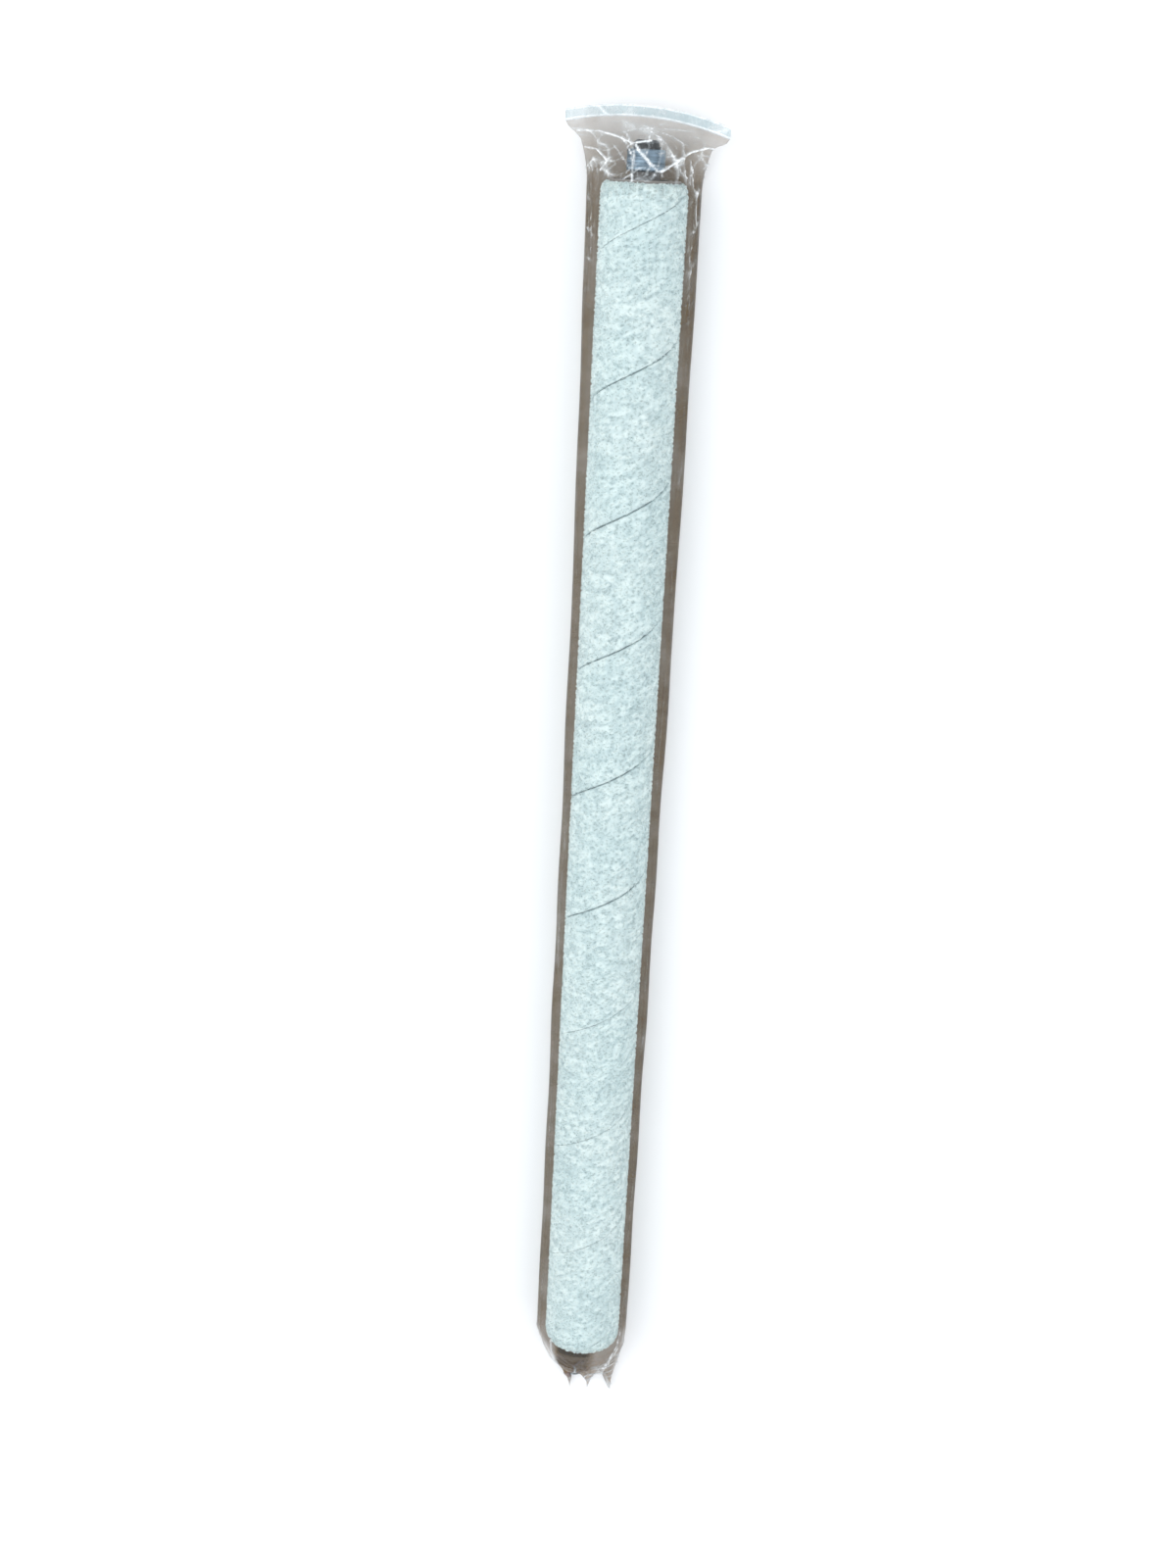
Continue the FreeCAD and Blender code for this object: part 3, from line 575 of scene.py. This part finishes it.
def pile(name, start, end, clumps, seed):
    """Tufts that stand out of the bed between start and end, gathered in clumps. A tenth of
    those at the roller's end crowd its edge, where the cut pile spreads."""
    rng = np.random.default_rng(seed)
    x = rng.uniform(start, end, TUFTS_EACH)
    crowd = TUFTS_EACH // 10
    if start < ROLLER_START + END_ROUND:
        x[:crowd] = ROLLER_START + rng.uniform(0, END_ROUND, crowd)
    if end > ROLLER_END - END_ROUND:
        x[:crowd] = ROLLER_END - rng.uniform(0, END_ROUND, crowd)
    turn = rng.uniform(-math.pi, math.pi, TUFTS_EACH)
    side = seam_distance(x, turn)
    keep = np.abs(side) > rng.uniform(0.15, 0.5, TUFTS_EACH) * MM * seam_open(x)
    x, turn, side = x[keep], turn[keep], side[keep]
    count = len(x)
    to_along, to_round, far, tone = clumps.nearest(x, turn)
    by_seam = np.clip(1 - np.abs(side) / (1.1 * MM), 0, 1) * seam_open(x)
    edge = np.minimum(x - ROLLER_START, ROLLER_END - x)

    # how tall each tuft is, and how far it leans towards its clump's middle, off the seam, and
    # outwards at the roller's ends
    pile_height = PLUSH_RADIUS - ROOT
    height = pile_height * (1.0 - 0.28 * far**2 + 0.03 * tone + rng.normal(0, 0.03, count))
    height = np.minimum(height, pile_height + 0.1 * MM)
    height = np.maximum(height * (1 - 0.10 * by_seam) - end_fall(edge), TUFT_SHORTEST)
    outward = np.clip(1 - edge / END_ROUND, 0, 1) * np.sign(x - (ROLLER_START + ROLLER_END) / 2)
    lean_along = 0.55 * to_along + rng.normal(0, 0.16, count) * MM
    off_seam = 0.45 * MM * by_seam * np.sign(side)
    lean_along = lean_along * (1 - by_seam) + off_seam + 0.8 * MM * outward
    lean_round = 0.55 * to_round + rng.normal(0, 0.3, count) * MM

    # the tufts themselves
    thick = rng.uniform(*TUFT_WIDTH, count) * MM
    twist = rng.uniform(0, 2 * math.pi, count)
    shape, faces = tuft_shape()
    up, lean, wide, deep = (shape[None, :, k] for k in range(4))
    c, s = np.cos(twist)[:, None], np.sin(twist)[:, None]
    along = x[:, None] + lean * lean_along[:, None] + thick[:, None] * (wide * c - deep * s)
    round_it = lean * lean_round[:, None] + thick[:, None] * (wide * s + deep * c)
    along = np.clip(along, ROLLER_START - PILE_FLUFF, ROLLER_END + PILE_FLUFF)
    points = on_cover(along, turn[:, None] + round_it / PLUSH_RADIUS, ROOT + up * height[:, None])
    many = faces[None, :, ::-1] + (np.arange(count) * len(shape))[:, None, None]
    item = mesh_object(name, points.reshape(-1, 3), many.reshape(-1, 3))
    # painted shade between clumps and beside the seam, and painted light at the roller's ends
    tones = shading(far, tone, by_seam, edge) + rng.normal(0, 0.06, count)
    write_attribute(item, "tip", np.broadcast_to(up, (count, len(shape))))
    write_attribute(item, "shade", np.repeat(np.clip(tones, 0, 1), len(shape)))
    return item


def make_plush():
    """The backing, and the pile on it as one bed and six lengths of tufts."""
    yarn = pile_yarn()
    backing = plush_strip()
    backing.data.materials.append(woven_backing())
    clumps = Clumps(CLUMP_SEED)
    piles = [pile_bed(clumps)]
    inset = 0.3 * MM
    length = ROLLER_LENGTH - 2 * inset
    for k in range(PILE_PIECES):
        start = ROLLER_START + inset + length * k / PILE_PIECES
        end = ROLLER_START + inset + length * (k + 1) / PILE_PIECES
        piles.append(pile(f"plush_pile_{k + 1}", start, end, clumps, TUFT_SEED + k))
    for item in piles:
        item.data.materials.append(yarn)
    for item in [backing] + piles:
        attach(item, "roller_shell")
    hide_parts("plush_cover")


# ---------------------------------------------------------------- film bag

FILM_GAP = 0.5 * MM  # between the pile and the film over it
FILM_LOW = 0.12 * MM  # height of the film that the roller lies on
FOLD_RADIUS = 0.8 * MM  # the film's two folded edges
FLAT_STEPS, FOLD_STEPS, WEB_STEPS, OVER_STEPS = 14, 6, 22, 38  # points along half a section
UPPER_SLEEVE = 100 * MM  # the length of sleeve beside the head, which is more crumpled
MOUTH_RINGS, SLEEVE_RINGS, UPPER_RINGS, HEAD_RINGS, WELD_RINGS = 76, 160, 66, 72, 14

# How much the film hides and how deep its brown tint is: where it lies on the pile, where it
# stands clear of it, and where it is gathered at the mouth
TINT_ON_PILE, TINT_TOP, TINT_TAIL = 0.04, 0.13, 0.24
# and on the underside: towards the folded edges at +Y and at -Y, right under the roller, at the
# weld, at the mouth, and as painted shadow inside the mouth.
UNDER_LEFT, UNDER_RIGHT, UNDER_ROLLER = 0.66, 0.72, 0.20
UNDER_WELD, UNDER_MOUTH, UNDER_PAINTED_SHADOW = 0.36, 0.50, 0.97

HEAD_LENGTH = head_high.x - ROLLER_END
WELD_BAND = 6 * MM
WELD_START = HEAD_LENGTH - WELD_BAND
WELD_HEIGHT = 18 * MM
WELD_GAP = 0.1 * MM  # between its two layers
WELD_PEAK = 10 * MM  # which way off the roller's middle the weld's bow points
WELD_BOW = 10 * MM  # how far the weld's far corner falls back
WELD_WAVE = 1.6 * MM
RIB_PITCH = 2.2 * MM  # crimping of the weld,
RIB_HEIGHT = 0.12 * MM  # and its height
EDGE_PLACES = ((0.05, 0.06), (0.93, 0.07))  # its bright edges: shares of its band, and widths
CAP_CLEAR = 1.0 * MM  # from the cap to the film over it

MOUTH_LENGTH = ROLLER_START - mouth_low.x
MOUTH_SHIFT = -8 * MM  # the mouth is drawn in to one side
MOUTH_HALF = 15.5 * MM
MOUTH_TOP, MOUTH_UNDER = 6 * MM, 1.5 * MM  # heights of its two layers
MOUTH_LAP = 3.2 * MM  # how much shorter the upper layer is cut
MOUTH_FALL = (0.26, 0.68)  # how far the mouth has come down
MOUTH_FALL_AT = (13 * MM, 36 * MM)  # at these distances past the roller's tail end
PLEAT = 14 * MM  # from one pleat of the mouth to the next
PLEAT_TOP, PLEAT_UNDER = 1.5 * MM, 0.6 * MM  # heights of the pleats in its two layers
# The mouth's cut edge has three points: (across, how far it falls short of the points), in mm.
MOUTH_EDGE = (
    (-23.5, 6), (-21.7, 0), (-16, 13), (-13.5, 17), (-8, 8), (-6, 0), (-5, 12), (5.5, 12),
    (6.3, 0), (7.5, 3),
)

# How far the sleeve's folded edges are drawn in, at +Y and at -Y, in millimetres: (along from
# the lock end, how far). SLEEVE_TRIM is the most, and the edges waver by TRIM_WAVE.
SLEEVE_TRIM = 3 * MM
TRIM_LEFT = ((0, 0.3), (110, 1.7), (270, 2.8), (760, 2.0))
TRIM_RIGHT = ((0, 0), (200, 0.1), (500, 1.5), (762, 2.4))
TRIM_WAVE = 0.35 * MM

# Creases that are pressed into the head, each from corner to corner in millimetres as
# (along from the lock end, across), with its width, its lift and how much painted glint whitens it.
# The two with no lift are broad patches of painted sheen.
HEAD_CREASES = (
    (((28, 39), (27, 26), (24, 16), (21, 8), (23, -2)), 0.7, 1.0, 0.85),
    (((25, 11), (17, 7), (9, 6)), 0.6, 0.9, 0.75),
    (((20, 6), (14, 1), (7, -6), (7, -9), (13, -17), (19, -25), (23, -34), (23, -45)), 0.9, 1.5, 0.95),
    (((13, -25), (-1, -27), (-7, -29), (-26, -30)), 0.5, 0.5, 0.6),
    # these two are broad patches of painted sheen, with no lift and no fold under them
    (((30, 12), (28, 0), (25, -5)), 3.5, 0.0, 0.35),
    (((17, -12), (12, -17)), 4.0, 0.0, 0.35),
    (((4, 20), (9, 23), (12, 28), (6, 30)), 2.5, 0.6, 0.4),
    (((-18, -16), (-31, -3)), 0.4, 0.2, 0.4),
    (((-25, -16), (-36, -2)), 0.4, 0.2, 0.35),
    (((24, 14), (15, 8), (1, 7)), 0.6, 0.8, 0.85),
    (((39, 28), (35, 24), (34, 21)), 0.9, 0.4, 0.7),
    (((18, 34), (17, 27), (11, 21), (6, 24)), 0.8, 1.0, 0.8),
    (((20, 19), (8, 9)), 0.4, 0.4, 0.5),
    (((2, 12), (8, 3)), 0.5, 0.5, 0.6),
)
# The same beyond the tail end, along from there.
TAIL_CREASES = (
    (((-6, 21), (17, 19), (47, 15), (62, 10)), 0.9, 0.8, 0.5),
    (((22, 3.5), (47, 3)), 0.8, 0.3, 0.3),
    (((-6, -26), (14, -20), (27, -15)), 0.8, 0.9, 0.75),
    (((8, -25), (25, -17), (47, -13)), 0.7, 0.8, 0.65),
    (((27, -11), (25, -23)), 0.7, 0.7, 0.6),
    (((49, 0), (35, -8)), 0.6, 0.6, 0.5),
    (((52, -17), (62, -22)), 1.2, 0.4, 0.35),
)


def sleeve_outline(trim):
    """The film's section round the roller, from the middle of its underside round by +Y, with
    its two folded edges drawn in by trim.

    Gives y, z, the outward normal, and how far each point is up its side web, from 0 to 1.
    """
    radius = PLUSH_RADIUS + FILM_GAP
    corner = np.array([bag_high.y - trim - FOLD_RADIUS, FILM_LOW + FOLD_RADIUS])
    middle = np.array([0, AXIS_Z])
    way = corner - middle
    tangent = math.atan2(way[1], way[0]) + math.acos((radius - FOLD_RADIUS) / np.hypot(*way))

    def arc(centre, r, start, end, count):
        angle = np.linspace(start, end, count, endpoint=False)
        ring = np.stack([np.cos(angle), np.sin(angle)], -1)
        return centre + r * ring, ring

    flat_y = np.linspace(0, corner[0], FLAT_STEPS, endpoint=False)
    flat = np.stack([flat_y, np.full(FLAT_STEPS, FILM_LOW)], -1)
    fold, fold_out = arc(corner, FOLD_RADIUS, -math.pi / 2, tangent, FOLD_STEPS)
    lean = np.array([math.cos(tangent), math.sin(tangent)])
    share = np.linspace(0, 1, WEB_STEPS, endpoint=False)
    web_start, web_end = corner + FOLD_RADIUS * lean, middle + radius * lean
    web = web_start * (1 - share)[:, None] + web_end * share[:, None]
    over, over_out = arc(middle, radius, tangent, math.pi / 2, OVER_STEPS)
    points = np.concatenate([flat, fold, web, over])
    down, side = np.tile([0.0, -1.0], (FLAT_STEPS, 1)), np.tile(lean, (WEB_STEPS, 1))
    out = np.concatenate([down, fold_out, side, over_out])
    on_web = np.concatenate([np.zeros(FLAT_STEPS + FOLD_STEPS), share, np.ones(OVER_STEPS)])

    # the crown, and the other half as a mirror of the first
    mirror = np.array([-1, 1])
    points = np.concatenate([points, [[0, AXIS_Z + radius]], points[:0:-1] * mirror])
    out = np.concatenate([out, [[0.0, 1.0]], out[:0:-1] * mirror])
    on_web = np.concatenate([on_web, [1.0], on_web[:0:-1]])
    return points, out, on_web


def film_stations():
    """Where the film's rings lie along the roller: closest together in the mouth and the head."""
    upper = ROLLER_END - UPPER_SLEEVE
    weld, top = ROLLER_END + WELD_START, ROLLER_END + HEAD_LENGTH
    return np.concatenate([
        np.linspace(ROLLER_START - MOUTH_LENGTH, ROLLER_START, MOUTH_RINGS, endpoint=False),
        np.linspace(ROLLER_START, upper, SLEEVE_RINGS, endpoint=False),
        np.linspace(upper, ROLLER_END, UPPER_RINGS, endpoint=False),
        np.linspace(ROLLER_END, weld, HEAD_RINGS, endpoint=False),
        np.linspace(weld, top, WELD_RINGS),
    ])


def ripple(u, v, length, seed, waves=7):
    """A smooth uneven field from about -1 to 1 whose waves are about length long."""
    rng = np.random.default_rng(seed)
    total = np.zeros(np.broadcast(u, v).shape)
    for _ in range(waves):
        angle, phase = rng.uniform(0, 2 * math.pi, 2)
        pace = 2 * math.pi / (length * rng.uniform(0.7, 1.5))
        total += np.sin(pace * (u * math.cos(angle) + v * math.sin(angle)) + phase)
    return total / math.sqrt(waves)


def ridges(u, v, length, seed):
    """Sharp creases: 1 along the lines where a ripple crosses zero, falling off quickly."""
    return np.clip(1 - 1.6 * np.abs(ripple(u, v, length, seed)), 0, 1) ** 3


def along_line(x, y, corners, width):
    """1 on a line through corners, falling off over width."""
    nearest = np.full(x.shape, 1.0)
    for (ax, ay), (bx, by) in zip(corners, corners[1:]):
        dx, dy = (bx - ax) * MM, (by - ay) * MM
        share = ((x - ax * MM) * dx + (y - ay * MM) * dy) / (dx * dx + dy * dy)
        share = np.clip(share, 0, 1)
        away = np.hypot(x - ax * MM - share * dx, y - ay * MM - share * dy)
        nearest = np.minimum(nearest, away)
    return np.exp(-((nearest / width) ** 2))


def trim_share(stations, is_left):
    """How far the sleeve's folded edges are drawn in at each ring, as a share of SLEEVE_TRIM."""
    down = np.clip(ROLLER_END - stations, 0, ROLLER_LENGTH)
    waves = TRIM_WAVE * ripple(stations, stations * 0, 70 * MM, 12) * np.clip(down / (60 * MM), 0, 1)
    left, right = (
        (np.interp(down, *np.array(side).T * MM) + waves) / SLEEVE_TRIM
        for side in (TRIM_LEFT, TRIM_RIGHT)
    )
    return np.where(is_left, left[:, None], right[:, None])


class Film:
    """The tube of film as rings of points, one at each station along the roller.

    beyond and before are how far a ring lies past the roller's lock end and its tail end. above
    is true on the upper layer. web runs from 0 at a folded edge to 1 where the film meets the
    pile. short is how far the mouth's cut edge falls short of its points. head, tail and band
    are 1 in the head, past the tail end and in the weld, and one_side is 1 off the mouth's -Y
    side. white is how white the film is drawn: painted glints along its creases and painted sheen
    in patches, the weld's own whitening, and a painted highlight along the mouth's cut rim.
    """

    def __init__(self):
        section, out, on_web = sleeve_outline(0)
        trimmed, trimmed_out, _ = sleeve_outline(SLEEVE_TRIM)
        self.stations = film_stations()
        share = trim_share(self.stations, section[:, 0] > 0)
        rings = len(self.stations)
        self.x = np.repeat(self.stations[:, None], len(section), 1)
        self.y, self.z = (section[:, k] * (1 - share) + trimmed[:, k] * share for k in (0, 1))
        self.out_y, self.out_z = (out[:, k] * (1 - share) + trimmed_out[:, k] * share for k in (0, 1))
        self.web = np.repeat(on_web[None], rings, 0)
        self.above = np.repeat((section[:, 1] > 2 * MM)[None], rings, 0)
        self.beyond = self.x - ROLLER_END
        self.before = ROLLER_START - self.x

    def close_head(self):
        """The head tents over the cap, widens, and closes in the weld."""
        crown = AXIS_Z + PLUSH_RADIUS + FILM_GAP
        shut_at_cap = (crown - (cap_high.z + CAP_CLEAR)) / (crown - WELD_HEIGHT)
        cap_out = cap_high.x - ROLLER_END
        shut = np.interp(self.beyond, [0, cap_out, WELD_START], [0, shut_at_cap, 1])
        flat_z = WELD_HEIGHT + np.where(self.above, WELD_GAP / 2, -WELD_GAP / 2)
        self.z = self.z * (1 - shut) + flat_z * shut
        widen = head_high.y / bag_high.y - 1
        self.y = self.y * (1 + widen * shut**1.6)
        bow = WELD_BOW * ((self.y - WELD_PEAK) / (head_high.y + WELD_PEAK)) ** 2
        self.x = self.x - bow * smooth(0, 1, shut) + 1.5 * MM * smooth(0.9, 1, shut)

    def draw_mouth(self):
        """The mouth comes down behind the roller and is drawn in to one side, in pleats."""
        drawn = np.clip(self.before / MOUTH_LENGTH, 0, 1)
        fall = np.interp(self.before, [0, *MOUTH_FALL_AT, MOUTH_LENGTH], [0, *MOUTH_FALL, 1])
        low_z = np.where(self.above, MOUTH_TOP, MOUTH_UNDER)
        self.z = self.z * (1 - fall) + low_z * fall
        narrow = smooth(0.12, 1.0, drawn)
        mouth_y = self.y * MOUTH_HALF / bag_high.y + MOUTH_SHIFT
        self.y = self.y * (1 - narrow) + mouth_y * narrow
        pleat = np.where(self.above, PLEAT_TOP, PLEAT_UNDER) * np.sin(2 * math.pi * mouth_y / PLEAT)
        self.z = self.z + pleat * smooth(0.45, 1, drawn)
        self.short = np.interp(mouth_y, *np.array(MOUTH_EDGE).T * MM)
        cut_back = self.short + np.where(self.above, MOUTH_LAP, 0)
        self.x = self.x + cut_back * smooth(0.55, 1, drawn)

    def crumple(self):
        """Folds and crumples, as the move outwards that each point makes, in millimetres, and as
        the painted glints along them."""
        x, y, above = self.x, self.y, self.above
        head = smooth(-6 * MM, 6 * MM, self.beyond)
        head = head * (1 - smooth(WELD_START - 3 * MM, WELD_START, self.beyond))
        upper = smooth(-110 * MM, -20 * MM, self.beyond) * (1 - head)
        tail = smooth(-2 * MM, 16 * MM, self.before)
        sleeve = (1 - head) * (1 - tail)
        on_side = np.sin(math.pi * np.clip(self.web, 0, 1)) * above
        self.one_side = smooth(-12 * MM, -3 * MM, y)
        self.head, self.tail = head, tail

        # fields of creases, from the finest to the broadest
        arc_way = np.arctan2(y, self.z - AXIS_Z) * PLUSH_RADIUS
        facet = ridges(x, arc_way, 7 * MM, 9) * head * (1 - smooth(8 * MM, 17 * MM, self.beyond))
        fine = ridges(x, arc_way, 11 * MM, 4)
        crumple = ridges(x, arc_way, 26 * MM, 3)
        long_fold = ridges(x * 0.10, arc_way, 15 * MM, 5)
        broad = ripple(x * 0.5, arc_way, 34 * MM, 6)

        move = on_side * (0.9 * long_fold + 0.5 * broad) * sleeve
        move = move + on_side * upper * (1.2 * crumple + 0.5 * fine)
        move = move + above * head * (1.1 * crumple + 0.5 * fine + 0.5 * broad)
        move = move + above * tail * (1.0 * crumple + 0.4 * fine + 0.6 * broad)
        move = move + above * 0.5 * facet
        move = move + above * (self.web >= 1) * sleeve * 0.25 * np.clip(broad, 0, 1)
        # painted glints along the folds and crumples, and over the gathered tail
        white = on_side * sleeve * 0.35 * long_fold**2
        white = white + on_side * upper * (0.55 * crumple**2 + 0.35 * fine**2)
        white = white + above * head * (0.5 * crumple**2 + 0.4 * fine**2 + 0.45 * facet**2)
        gathered = above * tail * (1 - 0.88 * self.one_side)
        white = white + gathered * (0.45 * crumple**2 + 0.4 * fine**2)
        for way, creases in ((self.beyond, HEAD_CREASES), (self.before, TAIL_CREASES)):
            for corners, width, lift, shine in creases:
                line = along_line(way, y, corners, width * MM) * above
                move = move + lift * line
                # painted glint along each listed line; with no lift, a patch of painted sheen
                white = white + shine * line**2
        self.white = white
        return move

    def press_weld(self):
        """Both layers are crimped together, with the weld's two edges pressed bright."""
        near = smooth(WELD_START - 14 * MM, WELD_START, self.beyond)
        self.band = smooth(WELD_START - 0.3 * MM, WELD_START + 0.3 * MM, self.beyond)
        self.z = self.z + RIB_HEIGHT * self.band * np.sin(2 * math.pi * self.y / RIB_PITCH)
        self.z = self.z + WELD_WAVE * ripple(self.y, self.x * 0, 40 * MM, 8) * near
        into = (self.beyond - WELD_START) / WELD_BAND
        edges = sum(np.exp(-((into - place) / width) ** 2) for place, width in EDGE_PLACES)
        self.white = self.white + self.band * (0.12 + 0.6 * edges)

    def push_out(self, move):
        """Moves each point along the section's normal, but not into what the bag lies on, and
        paints a highlight along the mouth's cut rim."""
        self.y = self.y + MM * move * self.out_y
        self.z = np.maximum(self.z + MM * move * self.out_z, FILM_LOW)
        # a painted highlight along the mouth's cut rim
        from_rim = self.stations - self.stations[0]
        self.white = self.white + 0.15 * np.exp(-from_rim / (0.8 * MM))[:, None]

    def tint_and_shade(self):
        """How much the film hides and how deep its brown tint is at each point, from 0 to 1, with
        painted shadow inside the mouth.
        """
        y, before, beyond, tail = self.y, self.before, self.beyond, self.tail
        stands_off = np.hypot(y, self.z - AXIS_Z) - PLUSH_RADIUS
        away = smooth(0.6 * MM, 5 * MM, stands_off) * (1 - 0.5 * self.head)
        upper = TINT_ON_PILE + (TINT_TOP - TINT_ON_PILE) * away
        upper = upper + (TINT_TAIL - TINT_TOP) * tail
        under = UNDER_RIGHT + (UNDER_LEFT - UNDER_RIGHT) * smooth(-15 * MM, 15 * MM, y)
        hidden = (1 - smooth(13 * MM, 22 * MM, np.abs(y))) * smooth(8 * MM, 30 * MM, -beyond)
        hidden = hidden * smooth(-10 * MM, -45 * MM, before)
        under = under + (UNDER_ROLLER - under) * hidden
        under = under + (UNDER_WELD - under) * smooth(0, WELD_START, beyond)
        under = under + (UNDER_MOUTH - under) * tail

        # painted shadow inside the mouth, which its points stand out of
        point = smooth(44 * MM, 56 * MM, before) * (1 - smooth(2 * MM, 9 * MM, self.short))
        inside = self.one_side * (1 - smooth(15 * MM, 19 * MM, y)) * (1 - point)
        under = under + (UNDER_PAINTED_SHADOW - under) * inside * tail
        # painted shadow on the upper layer as well, deeper towards the points, and a light painted
        # shade on the mouth's -Y side
        deeper = 0.2 + 0.55 * smooth(22 * MM, 58 * MM, before)
        shadow = inside * deeper + 0.12 * (1 - self.one_side)
        upper = upper + smooth(0, 4 * MM, before) * shadow
        return np.where(self.above, upper, under)


def close_end(item, first, is_upper):
    """Joins the upper and the under layer along the last ring, whose first point is given."""
    ring = first + np.arange(len(is_upper))
    order = [(-item.data.vertices[int(k)].co.y, int(k), up) for k, up in zip(ring, is_upper)]
    upper = [(y, k) for y, k, up in sorted(order) if up]
    under = [(y, k) for y, k, up in sorted(order) if not up]
    work = bmesh.new()
    work.from_mesh(item.data)
    work.verts.ensure_lookup_table()
    i = j = 0
    while i < len(upper) - 1 or j < len(under) - 1:
        here = (upper[i][1], under[j][1])
        if j == len(under) - 1 or (i < len(upper) - 1 and upper[i + 1][0] <= under[j + 1][0]):
            i += 1
            corner = upper[i][1]
        else:
            j += 1
            corner = under[j][1]
        work.faces.new([work.verts[k] for k in (*here, corner)])
    bmesh.ops.recalc_face_normals(work, faces=work.faces)
    work.to_mesh(item.data)
    work.free()


def make_bag():
    """The whole bag as one tube of film: mouth, sleeve, and a head that closes in its weld."""
    film = Film()
    film.close_head()
    film.draw_mouth()
    move = film.crumple()
    film.press_weld()
    film.push_out(move)
    points = np.stack([film.x, film.y, film.z], -1).reshape(-1, 3)
    rings, columns = film.x.shape
    bag = mesh_object("film_bag", points, grid_faces(rings, columns, closed=True))
    write_attribute(bag, "glint_and_whitening", np.clip(film.white, 0, 0.95))
    write_attribute(bag, "tint_and_shade", film.tint_and_shade())
    write_attribute(bag, "weld", film.band)
    close_end(bag, (rings - 1) * columns, film.above[-1])
    bag.data.materials.append(blown_film())
    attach(bag, "bag")
    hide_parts("bag_sleeve", "bag_head", "bag_mouth")


make_camera()
make_floor()
make_light()
finish_nodes()
make_plush()
make_bag()
